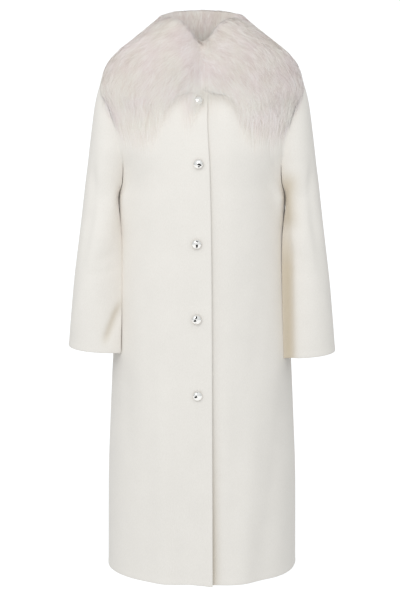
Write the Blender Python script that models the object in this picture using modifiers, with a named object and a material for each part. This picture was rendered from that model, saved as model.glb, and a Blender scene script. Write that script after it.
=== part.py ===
"""Long raglan coat with a deep fur collar, filled out as if worn, with nobody in it.

Metres, +Z up. The coat faces -Y and the wearer's left is +X. Heights in the tables are measured
from the hem. The origin is in the neck hole, level with the shoulders that carry the coat.
"""

import math

import bmesh
import bpy
import numpy as np
from mathutils import Matrix, Vector

# Sizes of the cloth and of the way it is sewn
CARRY_HEIGHT = 1.095
CLOTH_WALL = 0.0025
SEAM_GAP = 0.0003
SLIT_RINGS = 4.0

# How finely the surface is searched and its slope taken
STEP = 0.0005
TRIES = 161
FRONT_REACH = 0.2
BEYOND_FOLD = 1e-9
LEAST_LEAN = 1e-6

# A cubic curve bulges this share of the way out to its two middle points
CUBIC_BULGE = 0.75

# Front closing: the right front laps over the left one
UNDERLAP = 0.060
TUCK_DEPTH = 0.0042
TUCK_FULL_X = 0.024
TUCK_END_X = 0.058
EDGE_LIFT_WIDTH = 0.026

# Number of cells in each piece
FRONT_CELLS = 16
BACK_CELLS = 28
SLEEVE_CELLS = 22
SKIRT_CELLS = 10
ARM_CELLS = 10
ARM_CROWDING = 1.5

# Polished shank buttons
BUTTON_RADIUS = 0.0100
BUTTON_DOME = 0.0046
BUTTON_RIM = 0.0018
SHANK_RADIUS = 0.0030
SHANK_HEIGHT = 0.0022
DOME_SHARE = 0.985
DOME_ANGLES = (0.0, 22.0, 45.0, 68.0, 90.0)
BUTTON_STEPS = 20
AXIS_MERGE = 1e-5

# Fur collar
COLLAR_GAP = 0.0027
COLLAR_SECTIONS = 60
COLLAR_END = 0.004
COLLAR_TIP = 0.0045
COLLAR_TAPER = 1.22
COLLAR_LEAN = 0.20
NECK_FUR = 0.011
FALL_STEPS = (0.0, 0.10, 0.22, 0.36, 0.50, 0.64, 0.78, 0.90, 1.0)
STAND_STEPS = (0.25, 0.50, 0.75)

# Colours and finish
IVORY = (0.80, 0.78, 0.73)
WOOL_ROUGHNESS = 0.95
FUR_COLOUR = (0.74, 0.69, 0.66)
FUR_ROUGHNESS = 0.85
METAL_COLOUR = (0.86, 0.86, 0.85)
METAL_ROUGHNESS = 0.12

# Body of the coat from the hem up to the underarm
BODY_COLUMNS = ("height", "half_width", "front_depth", "back_depth")
BODY_ROWS = (
    (0.000, 0.2052, 0.168, 0.174),
    (0.180, 0.2036, 0.167, 0.171),
    (0.360, 0.1968, 0.165, 0.167),
    (0.580, 0.1850, 0.161, 0.159),
    (0.800, 0.1738, 0.153, 0.150),
)

# Sleeves from the cuff up to the underarm. The inner end lies against the body at a place on its front;
# a pinch is how far along the sleeve's width that half sets out, away from the body
ARM_COLUMNS = (
    "height", "place", "outer_x", "outer_y", "front_depth", "back_depth",
    "right_pinch", "left_pinch", "back_pinch",
)
ARM_ROWS = (
    (0.480, 0.352, 0.2850, -0.028, 0.0459, 0.0309, 0.45, 0.45, 0.45),
    (0.535, 0.356, 0.2800, -0.026, 0.0498, 0.0351, 0.50, 0.46, 0.44),
    (0.622, 0.365, 0.2716, -0.020, 0.0569, 0.0425, 0.52, 0.44, 0.43),
    (0.710, 0.385, 0.2614, -0.010, 0.0639, 0.0601, 0.42, 0.36, 0.40),
    (0.765, 0.430, 0.2556, -0.003, 0.0660, 0.0733, 0.18, 0.15, 0.24),
    (0.800, 0.500, 0.2517, 0.000, 0.0770, 0.0750, 0.00, 0.00, 0.00),
)
ARM_GAP = 0.0009
ARM_GAP_FULL = 0.06
CUFF_TILT = 0.006
CUFF_DROP = {"right": -0.001, "left": 0.010}

# Rings from the underarm up to the neckline: the drop is how far centre front and centre back hang
# below the ring's side, and each seam is a share of the way from the centre line to the armhole fold
YOKE_COLUMNS = (
    "side_height", "front_drop", "back_drop", "half_width",
    "front_depth", "back_depth", "front_seam", "back_seam",
)
YOKE_ROWS = (
    (0.800, 0.0000, 0.000, 0.2517, 0.1530, 0.1500, 1.000, 1.000),
    (0.808, 0.0005, 0.000, 0.2508, 0.1527, 0.1497, 1.000, 1.000),
    (0.830, 0.0020, 0.000, 0.2482, 0.1518, 0.1490, 1.000, 1.000),
    (0.865, 0.0070, 0.000, 0.2430, 0.1500, 0.1478, 1.000, 1.000),
    (0.910, 0.0140, 0.002, 0.2370, 0.1460, 0.1456, 0.950, 0.950),
    (0.955, 0.0250, 0.005, 0.2308, 0.1400, 0.1418, 0.850, 0.850),
    (0.995, 0.0380, 0.010, 0.2248, 0.1330, 0.1366, 0.760, 0.755),
    (1.025, 0.0470, 0.014, 0.2178, 0.1265, 0.1310, 0.700, 0.690),
    (1.048, 0.0530, 0.017, 0.2085, 0.1200, 0.1240, 0.665, 0.650),
    (1.066, 0.0600, 0.019, 0.1960, 0.1150, 0.1170, 0.655, 0.635),
    (1.082, 0.0680, 0.020, 0.1740, 0.1105, 0.1090, 0.665, 0.640),
    (1.095, 0.0740, 0.018, 0.1430, 0.1055, 0.1000, 0.700, 0.665),
    (1.107, 0.0780, 0.013, 0.1100, 0.0985, 0.0890, 0.750, 0.710),
    (1.117, 0.0790, 0.007, 0.0800, 0.0900, 0.0770, 0.800, 0.750),
)

# Fold between body and sleeve in the lowest of those rings; above them the ring is a plain oval
FOLD_COLUMNS = ("fold_x", "fold_depth", "body_turn", "lobe_turn", "lobe_pull", "side_pull")
FOLD_ROWS = (
    (0.1738, 0.000, 90.0, -90.0, 0.103, 0.103),
    (0.1733, 0.012, 85.0, -86.0, 0.092, 0.1003),
    (0.1665, 0.047, 70.0, -66.0, 0.058, 0.088),
    (0.1640, 0.066, 60.0, -42.0, 0.050, 0.077),
    (0.1690, 0.078, 50.0, -22.0, 0.041, 0.062),
    (0.1795, 0.0745, 46.0, -2.0, 0.033, 0.046),
    (0.1890, 0.0625, 46.5, 18.0, 0.026, 0.033),
)
JOIN_ANGLE = 65.0
BODY_PULL = 0.56
JOIN_PULL = 0.65

# Front edge of the right front, to the wearer's left of the centre line, and how far it stands off
EDGE_COLUMNS = ("height", "edge_x", "lift")
EDGE_ROWS = (
    (0.000, 0.0215, 0.0075),
    (0.400, 0.0205, 0.0036),
    (0.720, 0.0185, 0.0018),
    (0.870, 0.0150, 0.0010),
    (0.960, 0.0110, 0.0000),
    (1.040, 0.0110, 0.0000),
)

# Largest hanging folds of the skirt, ridges with a depth above zero and troughs below
FOLD_FADE = 0.6
SKIRT_FOLD_COLUMNS = ("side", "hem_x", "top_x", "top_height", "half_width", "depth")
SKIRT_FOLDS = (
    ("front", -0.082, -0.080, 0.62, 0.022, 0.0045),
    ("front", -0.028, -0.062, 0.62, 0.021, -0.0055),
    ("front", 0.084, 0.124, 0.52, 0.026, 0.0045),
    ("front", 0.128, 0.166, 0.46, 0.026, -0.0035),
    ("back", -0.090, -0.070, 0.55, 0.026, 0.007),
    ("back", -0.030, -0.028, 0.50, 0.022, -0.006),
    ("back", 0.052, 0.040, 0.60, 0.026, 0.006),
    ("back", 0.112, 0.096, 0.46, 0.022, -0.005),
)

# Long soft folds of a sleeve; the turn is the share of the way round from the underarm seam
ARM_FOLD_COLUMNS = ("turn", "low", "high", "half_width", "depth")
ARM_FOLDS = (
    (0.30, 0.60, 0.94, 0.045, -0.0035),
    (0.39, 0.56, 0.90, 0.050, 0.0025),
    (0.68, 0.56, 0.84, 0.050, -0.0035),
)

# Collar along the ring from centre front (0) over the shoulder (1) to centre back (2)
COLLAR_COLUMNS = ("place", "edge_ring", "top_height")
COLLAR_ROWS = (
    (0.00, 10.0, 1.110),
    (0.10, 7.6, 1.133),
    (0.20, 5.0, 1.157),
    (0.31, 4.0, 1.169),
    (0.42, 4.1, 1.172),
    (0.52, 5.2, 1.171),
    (0.75, 7.7, 1.167),
    (1.00, 8.8, 1.165),
    (1.25, 7.6, 1.174),
    (1.50, 5.2, 1.186),
    (1.75, 4.4, 1.198),
    (2.00, 4.2, 1.203),
)

# Buttons down the right front, each sitting a little askew on its shank
BUTTON_COLUMNS = ("x", "height", "tip_degrees", "tip_towards")
BUTTONS = (
    (-0.0080, 0.9985, 4.0, 250.0),
    (-0.0072, 0.8720, 11.0, 170.0),
    (-0.0110, 0.7110, 3.0, 265.0),
    (-0.0112, 0.5580, 10.0, 15.0),
    (-0.0094, 0.4010, 11.0, 350.0),
)


def columns(names, rows):
    return dict(zip(names, np.array(rows, float).T))


def slopes(known, values):
    """Slopes of a smooth curve through the values that never overshoots them."""
    gaps = np.diff(known)
    rises = np.diff(values) / gaps
    inner = np.zeros(len(known))
    same_way = rises[:-1] * rises[1:] > 0
    safe = np.where(same_way, rises[:-1] + rises[1:], 1.0)
    inner[1:-1] = np.where(same_way, 2 * rises[:-1] * rises[1:] / safe, 0.0)
    inner[0] = rises[0]
    inner[-1] = rises[-1]
    return inner


def smooth(known, values, at):
    """Value of the smooth curve through (known, values) at each place."""
    at = np.clip(at, known[0], known[-1])
    tangents = slopes(known, values)
    cell = np.clip(np.searchsorted(known, at, side="right") - 1, 0, len(known) - 2)
    gap = known[cell + 1] - known[cell]
    t = (at - known[cell]) / gap
    start = (1 + 2 * t) * (1 - t) ** 2 * values[cell] + t * (1 - t) ** 2 * gap * tangents[cell]
    end = t * t * (3 - 2 * t) * values[cell + 1] + t * t * (t - 1) * gap * tangents[cell + 1]
    return start + end


def ease(share):
    share = np.clip(share, 0.0, 1.0)
    return share * share * (3 - 2 * share)


def bezier(start, first, second, end, t):
    return (
        (1 - t) ** 3 * start + 3 * t * (1 - t) ** 2 * first + 3 * t * t * (1 - t) * second + t**3 * end
    )


def armhole(depths, widths):
    """The fold columns for every ring: tabled in the low rings, taken from an oval in the others."""
    tabled = columns(FOLD_COLUMNS, FOLD_ROWS)
    angle = math.radians(JOIN_ANGLE)
    x = widths * math.sin(angle)
    y = depths * math.cos(angle)
    turn = np.arctan2(depths * math.sin(angle), widths * math.cos(angle))
    corner = y - (widths - x) * np.tan(turn)
    plain = {
        "fold_x": x,
        "fold_depth": y,
        "body_turn": np.degrees(turn),
        "lobe_turn": np.degrees(turn),
        "lobe_pull": JOIN_PULL * np.hypot(widths - x, y - corner),
        "side_pull": JOIN_PULL * corner,
    }
    low = len(FOLD_ROWS)
    return {name: np.concatenate([tabled[name], plain[name][low:]]) for name in FOLD_COLUMNS}


BODY = columns(BODY_COLUMNS, BODY_ROWS)
ARM = columns(ARM_COLUMNS, ARM_ROWS)
YOKE = columns(YOKE_COLUMNS, YOKE_ROWS)
RING = np.arange(len(YOKE_ROWS), dtype=float)
TOP_RING = RING[-1]
FOLD = {
    "front": armhole(YOKE["front_depth"], YOKE["half_width"]),
    "back": armhole(YOKE["back_depth"], YOKE["half_width"]),
}
EDGE = columns(EDGE_COLUMNS, EDGE_ROWS)
COLLAR = columns(COLLAR_COLUMNS, COLLAR_ROWS)
UNDERARM = BODY["height"][-1]


def body_arc(end_x, end_y, depth, turn, t):
    """From the centre line, square to it, to a fold or side point met at an angle of turn."""
    lean = np.maximum(np.sin(turn), LEAST_LEAN)
    corner_x = end_x - (depth - end_y) / lean * np.cos(turn)
    x = bezier(0.0, BODY_PULL * corner_x, end_x + BODY_PULL * (corner_x - end_x), end_x, t)
    y = bezier(depth, depth, end_y + BODY_PULL * (depth - end_y), end_y, t)
    return x, y


def lobe_arc(fold_x, fold_y, turn, pull, side_x, side_pull, t):
    """From the fold out and round to the outermost point of the ring."""
    x = bezier(fold_x, fold_x + pull * np.cos(turn), side_x, side_x, t)
    y = bezier(fold_y, fold_y - pull * np.sin(turn), side_pull, 0.0, t)
    return x, y


def skirt_point(height, place):
    """A point of the body below the underarm. Place runs from 0 at centre front to 2 at centre back."""
    along = np.abs(place)
    front = along <= 1.0
    t = 2 * np.where(front, along, 2.0 - along)
    width = smooth(BODY["height"], BODY["half_width"], height)
    depth = np.where(
        front,
        smooth(BODY["height"], BODY["front_depth"], height),
        smooth(BODY["height"], BODY["back_depth"], height),
    )
    x, y = body_arc(width, 0.0, depth, math.pi / 2, t)
    return np.stack([np.sign(place) * x, np.where(front, -y, y), height + 0.0 * x], -1)


def yoke_point(ring, place):
    """A point of the ring stack above the underarm, sleeve heads and all."""
    along = np.abs(place)
    front = along <= 1.0
    t = np.where(front, along, 2.0 - along)
    width = smooth(RING, YOKE["half_width"], ring)

    def of(name, table):
        return smooth(RING, table[name], ring)

    def either(name):
        return np.where(front, of(name, FOLD["front"]), of(name, FOLD["back"]))

    depth = np.where(front, of("front_depth", YOKE), of("back_depth", YOKE))
    drop = np.where(front, of("front_drop", YOKE), of("back_drop", YOKE))
    fold_x = either("fold_x")
    fold_y = either("fold_depth")
    body_x, body_y = body_arc(fold_x, fold_y, depth, np.radians(either("body_turn")), 2 * t)
    slit = SEAM_GAP * (1.0 - ease(ring / SLIT_RINGS))
    lobe_turn = np.radians(either("lobe_turn"))
    lobe_pull = either("lobe_pull")
    side_pull = either("side_pull")
    lobe_x, lobe_y = lobe_arc(fold_x + slit, fold_y, lobe_turn, lobe_pull, width, side_pull, 2 * t - 1)
    x = np.where(t <= 0.5, body_x, lobe_x)
    y = np.where(t <= 0.5, body_y, lobe_y)
    z = of("side_height", YOKE) - drop * (y / depth) ** 2
    return np.stack([np.sign(place) * x, np.where(front, -y, y), z], -1)


def body_point(level, place):
    """Level runs from 0 at the hem to 1 at the underarm and on to 2 at the neckline."""
    skirt = skirt_point(UNDERARM * np.minimum(level, 1.0), place)
    yoke = yoke_point(TOP_RING * np.maximum(level - 1.0, 0.0), place)
    return np.where((level < 1.0)[..., None], skirt, yoke)


def seam_place(level, name):
    """Where a raglan or side seam lies on the ring, from 0 at its own centre line."""
    return 0.5 * smooth(RING, YOKE[name], TOP_RING * np.maximum(level - 1.0, 0.0))


def beside_body(height, place, below):
    """Where a sleeve's inner end lies, just clear of the body."""
    out = normals(body_point, height / UNDERARM, place, -0.5, 0.5)
    gap = SEAM_GAP + (ARM_GAP - SEAM_GAP) * ease(below / ARM_GAP_FULL)
    return skirt_point(height, place) + gap[..., None] * out


def arm_point(level, turn, side):
    """A point of the left sleeve below the underarm. Turn goes from the underarm seam forwards and round."""
    cuff = ARM["height"][0]
    below = 1.0 - np.minimum(level, 1.0)
    height = UNDERARM - (UNDERARM - cuff) * below

    def of(name):
        return smooth(ARM["height"], ARM[name], height)

    front = turn <= 0.5
    t = 2 * np.where(front, turn, 1.0 - turn)
    pull = np.where(front, of("front_depth"), of("back_depth")) / CUBIC_BULGE
    share = bezier(0.0, np.where(front, of(side + "_pinch"), of("back_pinch")), 1.0, 1.0, t)
    inner = beside_body(height - below * (CUFF_TILT + CUFF_DROP[side]), of("place"), below)
    x = inner[..., 0] + (of("outer_x") - inner[..., 0]) * share
    chord = inner[..., 1] + (of("outer_y") - inner[..., 1]) * share
    y = bezier(0.0, pull, pull, 0.0, t)
    tip = CUFF_TILT * (2 * t - 1) - CUFF_DROP[side]
    return np.stack([x, chord + np.where(front, -y, y), height + below * tip], -1)


def sleeve_point(level, turn, side):
    """A point of the left sleeve: a tube up to the underarm, then from raglan seam to raglan seam."""
    first = seam_place(level, "front_seam") + BEYOND_FOLD
    last = 2.0 - seam_place(level, "back_seam") - BEYOND_FOLD
    head = yoke_point(TOP_RING * np.maximum(level - 1.0, 0.0), first + turn * (last - first))
    return np.where((level < 1.0)[..., None], arm_point(level, turn, side), head)


def normals(surface, level, across, first, last):
    """Outward normals of a surface of (level, across), taken over a small step inside its own piece."""
    low = np.where(level > 1.0, 1.0, 0.0)
    high = np.where(level > 1.0, 2.0, 1.0 - BEYOND_FOLD)
    up = surface(np.minimum(level + STEP, high), across) - surface(np.maximum(level - STEP, low), across)
    along = surface(level, np.minimum(across + STEP, last)) - surface(level, np.maximum(across - STEP, first))
    square = np.cross(along, up)
    return square / np.linalg.norm(square, axis=-1, keepdims=True)


def joined(out, level):
    """Normals with one shared direction along the underarm seam, where a sleeve's two edges meet."""
    shared = out[:, 0] + out[:, -1]
    shared = shared / np.linalg.norm(shared, axis=-1, keepdims=True)
    below = (level < 1.0)[:, None]
    out = out.copy()
    out[:, 0] = np.where(below, shared, out[:, 0])
    out[:, -1] = np.where(below, shared, out[:, -1])
    return out


def skirt_folds(points):
    """How far the hanging folds push the cloth out."""
    x = points[..., 0]
    height = points[..., 2]
    push = np.zeros(x.shape)
    for row in SKIRT_FOLDS:
        fold = dict(zip(SKIRT_FOLD_COLUMNS, row))
        middle = fold["hem_x"] + (fold["top_x"] - fold["hem_x"]) * height / fold["top_height"]
        on_side = points[..., 1] < 0 if fold["side"] == "front" else points[..., 1] > 0
        fade = ease((fold["top_height"] - height) / (FOLD_FADE * fold["top_height"]))
        bump = fold["depth"] * np.exp(-(((x - middle) / fold["half_width"]) ** 2))
        push += np.where(on_side, bump * fade, 0.0)
    return push


def arm_folds(points, turn):
    """How far the long folds of a sleeve push its cloth out."""
    height = points[..., 2]
    push = np.zeros(height.shape)
    for row in ARM_FOLDS:
        fold = dict(zip(ARM_FOLD_COLUMNS, row))
        along = np.clip((height - fold["low"]) / (fold["high"] - fold["low"]), 0.0, 1.0)
        bump = fold["depth"] * np.exp(-(((turn - fold["turn"]) / fold["half_width"]) ** 2))
        push += bump * np.sin(math.pi * along) ** 2
    return push


def body_levels():
    skirt = np.linspace(0.0, 1.0, SKIRT_CELLS + 1)
    return np.concatenate([skirt, 1.0 + RING[1:] / TOP_RING])


def sleeve_levels():
    """Rows from the cuff to the neckline, closer together below the underarm."""
    arm = 1.0 - np.linspace(1.0, 0.0, ARM_CELLS + 1) ** ARM_CROWDING
    return np.concatenate([arm, 1.0 + RING[1:] / TOP_RING])


def place_at_x(level, wanted_x):
    """Place on the front of each ring where x has the wanted size."""
    tries = np.linspace(-FRONT_REACH, FRONT_REACH, TRIES)
    found = []
    for each_level, x in zip(level, wanted_x):
        ring_x = body_point(np.full(tries.shape, each_level), tries)[:, 0]
        found.append(np.interp(x, ring_x, tries))
    return np.array(found)


def front_grid(side):
    """Points and normals of one front, from its free edge to its side and raglan seam."""
    level = body_levels()
    sign = 1.0 if side == "left" else -1.0
    centre = body_point(level, np.zeros(level.shape))
    edge_x = smooth(EDGE["height"], EDGE["edge_x"], centre[:, 2])
    if side == "left":
        edge_x = edge_x - UNDERLAP
    first = place_at_x(level, edge_x)
    last = sign * seam_place(level, "front_seam")
    share = np.linspace(0.0, 1.0, FRONT_CELLS + 1)
    place = first[:, None] + (last - first)[:, None] * share
    levels = np.broadcast_to(level[:, None], place.shape)
    points = body_point(levels, place)
    out = normals(body_point, levels, place, -0.5, 0.5)
    push = skirt_folds(points)
    if side == "left":
        push -= TUCK_DEPTH * ease((TUCK_END_X - points[..., 0]) / (TUCK_END_X - TUCK_FULL_X))
    else:
        lift = smooth(EDGE["height"], EDGE["lift"], points[..., 2])
        from_edge = edge_x[:, None] - points[..., 0]
        push += lift * (1.0 - ease(from_edge / EDGE_LIFT_WIDTH))
    return points + push[..., None] * out, out, (False, True)


def back_grid():
    level = body_levels()
    share = np.linspace(-1.0, 1.0, BACK_CELLS + 1)
    reach = seam_place(level, "back_seam")
    place = np.where(share < 0, -1.0, 1.0) * (2.0 - np.abs(share) * reach[:, None])
    levels = np.broadcast_to(level[:, None], place.shape)
    points = body_point(levels, place)
    near_back = np.sign(place) * 2.0
    out = normals(body_point, levels, place, near_back - 0.5, near_back + 0.5)
    return points + skirt_folds(points)[..., None] * out, out, (True, True)


def sleeve_grid(side):
    level = sleeve_levels()
    turn = np.broadcast_to(np.linspace(0.0, 1.0, SLEEVE_CELLS + 1), (len(level), SLEEVE_CELLS + 1))
    levels = np.broadcast_to(level[:, None], turn.shape)

    def surface(at_level, at_turn):
        return sleeve_point(at_level, at_turn, side)

    points = surface(levels, turn)
    out = joined(normals(surface, levels, turn, 0.0, 1.0), level)
    points = points + arm_folds(points, turn)[..., None] * out
    if side == "right":
        points = points * (-1.0, 1.0, 1.0)
        out = out * (-1.0, 1.0, 1.0)
    return points, out, (True, True)


def pulled_in(grid, sewn):
    """The grid with its sewn edges drawn back by half a seam gap."""
    grid = grid.copy()
    for is_sewn, edge, inside in ((sewn[0], 0, 1), (sewn[1], -1, -2)):
        if is_sewn:
            step = grid[:, inside] - grid[:, edge]
            grid[:, edge] += 0.5 * SEAM_GAP * step / np.linalg.norm(step, axis=-1, keepdims=True)
    return grid


def to_world(points):
    return points - np.array((0.0, 0.0, CARRY_HEIGHT))


def new_object(name, mesh, collection, material):
    part = bpy.data.objects.new(name, mesh)
    collection.objects.link(part)
    part.data.materials.append(material)
    return part


def lofted(name, sections, close_end, collection, material):
    """A closed skin over a stack of rings of points, the first and last ring filled."""
    skin = bmesh.new()
    rings = [[skin.verts.new(point) for point in section] for section in to_world(sections)]
    for low, high in zip(rings[:-1], rings[1:]):
        for index in range(len(low)):
            after = (index + 1) % len(low)
            skin.faces.new((low[index], low[after], high[after], high[index]))
    for ring in (rings[0], rings[-1]):
        close_end(skin, ring)
    bmesh.ops.recalc_face_normals(skin, faces=skin.faces)
    bmesh.ops.triangulate(skin, faces=skin.faces, quad_method="SHORT_EDGE")
    mesh = bpy.data.meshes.new(name)
    skin.to_mesh(mesh)
    skin.free()
    return new_object(name, mesh, collection, material)


def wall_end(skin, ring):
    """Closes a thin wall's first or last row: its outer points run out and its inner ones back."""
    half = len(ring) // 2
    for index in range(half - 1):
        skin.faces.new((ring[index], ring[index + 1], ring[-2 - index], ring[-1 - index]))


def leaf_end(skin, ring):
    """Closes an end of the collar, whose upper and lower points face each other in pairs."""
    fall = len(FALL_STEPS)
    lower = ring[:fall][::-1]
    upper = ring[-fall:]
    stand = ring[fall:-fall]
    skin.faces.new([lower[0], *stand, upper[0]])
    for index in range(fall - 1):
        skin.faces.new((lower[index], upper[index], upper[index + 1], lower[index + 1]))


def cloth_wall(name, grid, collection, material):
    points, out, sewn = grid
    outer = pulled_in(points, sewn)
    inner = pulled_in(points - CLOTH_WALL * out, sewn)
    sections = np.concatenate([outer, inner[:, ::-1]], axis=1)
    return lofted(name, sections, wall_end, collection, material)


def collar_section(place):
    """One slice of the collar: under the fall to the neck, up inside the stand, over and down the fur."""
    along = np.abs(place)
    edge = smooth(COLLAR["place"], COLLAR["edge_ring"], along)
    fall = np.array(FALL_STEPS)
    level = 1.0 + (TOP_RING + (edge - TOP_RING) * fall) / TOP_RING
    places = np.full(fall.shape, place)
    cloth = body_point(level, places)
    out = normals(body_point, level, places, places - STEP, places + STEP)
    under = cloth + COLLAR_GAP * out
    stand = smooth(COLLAR["place"], COLLAR["top_height"], along) - cloth[0, 2]
    flat = out * (1.0, 1.0, 0.0)
    flat = flat / np.linalg.norm(flat, axis=-1, keepdims=True)
    lift = out * fall[:, None] + (COLLAR_LEAN * flat + (0.0, 0.0, 1.0)) * (1.0 - fall[:, None])
    lift = lift / np.linalg.norm(lift, axis=-1, keepdims=True)
    height = COLLAR_TIP + (stand - COLLAR_TIP) * (1.0 - fall) ** COLLAR_TAPER
    over = cloth + height[:, None] * lift
    up = np.array(STAND_STEPS)[:, None]
    inside = under[0] + (over[0] - under[0]) * up - NECK_FUR * np.sin(math.pi * up) * flat[0]
    return np.concatenate([under[::-1], inside, over])


def fur_collar(collection, material):
    share = np.linspace(-1.0, 1.0, COLLAR_SECTIONS + 1)
    places = np.where(share < 0, -1.0, 1.0) * (2.0 - np.abs(share) * (2.0 - COLLAR_END))
    sections = np.stack([collar_section(place) for place in places])
    return lofted("fur_collar", sections, leaf_end, collection, material)


def button_profile():
    """Half outline of a button from the foot of its shank out to the rim and over the dome."""
    outline = [(0.0, 0.0), (SHANK_RADIUS, 0.0), (SHANK_RADIUS, SHANK_HEIGHT)]
    outline.append((BUTTON_RADIUS - 0.5 * BUTTON_RIM, SHANK_HEIGHT))
    outline.append((BUTTON_RADIUS, SHANK_HEIGHT + 0.5 * BUTTON_RIM))
    for turn in DOME_ANGLES:
        angle = math.radians(turn)
        top = SHANK_HEIGHT + BUTTON_RIM + BUTTON_DOME * math.sin(angle)
        outline.append((DOME_SHARE * BUTTON_RADIUS * math.cos(angle), top))
    outline[-1] = (0.0, outline[-1][1])
    return outline


def button_seat(x, height):
    """Where a button's shank meets the right front, and the way that the cloth faces there."""
    level = np.array([height / UNDERARM if height < UNDERARM else level_at(height)])
    place = place_at_x(level, np.array([x]))
    spot = body_point(level, place)
    out = normals(body_point, level, place, -FRONT_REACH, FRONT_REACH)
    spot = spot + skirt_folds(spot)[:, None] * out
    return Vector(to_world(spot[0])), Vector(out[0])


def button(name, row, collection, material):
    """A turned button whose shank stands a seam gap off the right front."""
    sizes = dict(zip(BUTTON_COLUMNS, row))
    outline = button_profile()
    mesh = bpy.data.meshes.new(name)
    edges = [(index, index + 1) for index in range(len(outline) - 1)]
    mesh.from_pydata([(radius, 0.0, up) for radius, up in outline], edges, [])
    part = new_object(name, mesh, collection, material)
    turned = part.modifiers.new("Turned", "SCREW")
    turned.axis = "Z"
    turned.steps = BUTTON_STEPS
    turned.render_steps = BUTTON_STEPS
    turned.use_merge_vertices = True
    turned.merge_threshold = AXIS_MERGE
    turned.use_normal_calculate = True
    spot, axis = button_seat(sizes["x"], sizes["height"])
    angle = math.radians(sizes["tip_degrees"])
    tip = Matrix.Rotation(angle, 3, tip_axis(axis, sizes["tip_towards"]))
    square = axis.to_track_quat("Z", "Y").to_matrix()
    foot = spot + axis * (SEAM_GAP + SHANK_RADIUS * math.sin(angle))
    part.matrix_world = Matrix.Translation(foot) @ (tip @ square).to_4x4()
    return part


def tip_axis(axis, towards):
    """Axis lying in the cloth about which a button leans towards a clock angle seen from in front."""
    angle = math.radians(towards)
    lean = Vector((math.cos(angle), 0.0, math.sin(angle)))
    return axis.cross(lean).normalized()


def level_at(height):
    """Level of the ring whose centre front has this height."""
    ring = np.linspace(0.0, TOP_RING, TRIES)
    centre = yoke_point(ring, np.zeros(ring.shape))[:, 2]
    return 1.0 + float(np.interp(height, centre, ring)) / TOP_RING


def material(name, colour, roughness, metallic):
    made = bpy.data.materials.new(name)
    made.use_nodes = True
    surface = made.node_tree.nodes["Principled BSDF"]
    surface.inputs["Base Color"].default_value = (*colour, 1.0)
    surface.inputs["Roughness"].default_value = roughness
    surface.inputs["Metallic"].default_value = metallic
    return made


def build():
    for old in list(bpy.data.objects):
        bpy.data.objects.remove(old, do_unlink=True)
    coat = bpy.data.collections.new("raglan_coat")
    bpy.context.scene.collection.children.link(coat)
    panels = {
        "front_right": front_grid("right"),
        "front_left": front_grid("left"),
        "back": back_grid(),
        "sleeve_right": sleeve_grid("right"),
        "sleeve_left": sleeve_grid("left"),
    }
    for name, grid in panels.items():
        cloth_wall(name, grid, coat, material(name + "_wool", IVORY, WOOL_ROUGHNESS, 0.0))
    fur_collar(coat, material("collar_fur", FUR_COLOUR, FUR_ROUGHNESS, 0.0))
    for number, row in enumerate(BUTTONS, start=1):
        name = f"button_{number}"
        button(name, row, coat, material(name + "_metal", METAL_COLOUR, METAL_ROUGHNESS, 1.0))


build()
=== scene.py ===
"""Looks of the raglan coat: thick ivory wool, a long-haired fur collar and polished buttons."""

import math
from collections import namedtuple

import bpy
import numpy as np
from mathutils import Matrix, Vector


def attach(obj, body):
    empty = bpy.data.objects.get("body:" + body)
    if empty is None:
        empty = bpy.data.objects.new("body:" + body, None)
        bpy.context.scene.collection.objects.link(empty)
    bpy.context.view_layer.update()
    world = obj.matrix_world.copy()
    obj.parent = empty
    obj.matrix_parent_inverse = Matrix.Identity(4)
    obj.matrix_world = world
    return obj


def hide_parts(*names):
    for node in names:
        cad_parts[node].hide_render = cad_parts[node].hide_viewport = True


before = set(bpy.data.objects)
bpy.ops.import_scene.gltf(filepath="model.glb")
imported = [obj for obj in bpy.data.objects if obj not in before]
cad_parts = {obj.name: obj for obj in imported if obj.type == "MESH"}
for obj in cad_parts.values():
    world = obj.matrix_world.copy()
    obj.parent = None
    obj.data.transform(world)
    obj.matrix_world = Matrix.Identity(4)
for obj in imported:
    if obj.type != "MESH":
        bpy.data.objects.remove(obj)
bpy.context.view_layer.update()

# Sizes of the cloth and of the way it is sewn
CARRY_HEIGHT = 1.095
CLOTH_WALL = 0.0025
SEAM_GAP = 0.0003
SLIT_RINGS = 4.0

# How finely the surface is searched and its slope taken
STEP = 0.0005
TRIES = 161
FRONT_REACH = 0.2
BEYOND_FOLD = 1e-9
LEAST_LEAN = 1e-6
TINY = 1e-12

# Upwards, what keeps the level part of a direction, and what mirrors left to right
UPWARDS = (0.0, 0.0, 1.0)
LEVEL = (1.0, 1.0, 0.0)
MIRROR = (-1.0, 1.0, 1.0)

# Places on a ring and the level of the neckline
FOLD_PLACE = 0.5
CENTRE_BACK = 2.0
NECKLINE = 2.0

# A cubic curve bulges this share of the way out to its two middle points
CUBIC_BULGE = 0.75

# Front closing: the right front laps over the left one
UNDERLAP = 0.060
TUCK_DEPTH = 0.0042
TUCK_FULL_X = 0.024
TUCK_END_X = 0.058
EDGE_LIFT_WIDTH = 0.026

# Polished shank buttons; turns are the first and last angle of an arc and how many points it has
BUTTON_RADIUS = 0.0100
BUTTON_DOME = 0.0046
BUTTON_RIM = 0.0018
SHANK_RADIUS = 0.0030
SHANK_HEIGHT = 0.0022
DOME_SHARE = 0.95545
RIM_TURNS = (-90.0, 60.0, 11)
DOME_TURNS = (4.0, 90.0, 24)
BUTTON_SIDES = 48

# Fur collar
COLLAR_GAP = 0.0027
COLLAR_END = 0.004
COLLAR_TIP = 0.0045
COLLAR_TAPER = 1.22
COLLAR_LEAN = 0.20
NECK_FUR = 0.011

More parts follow.
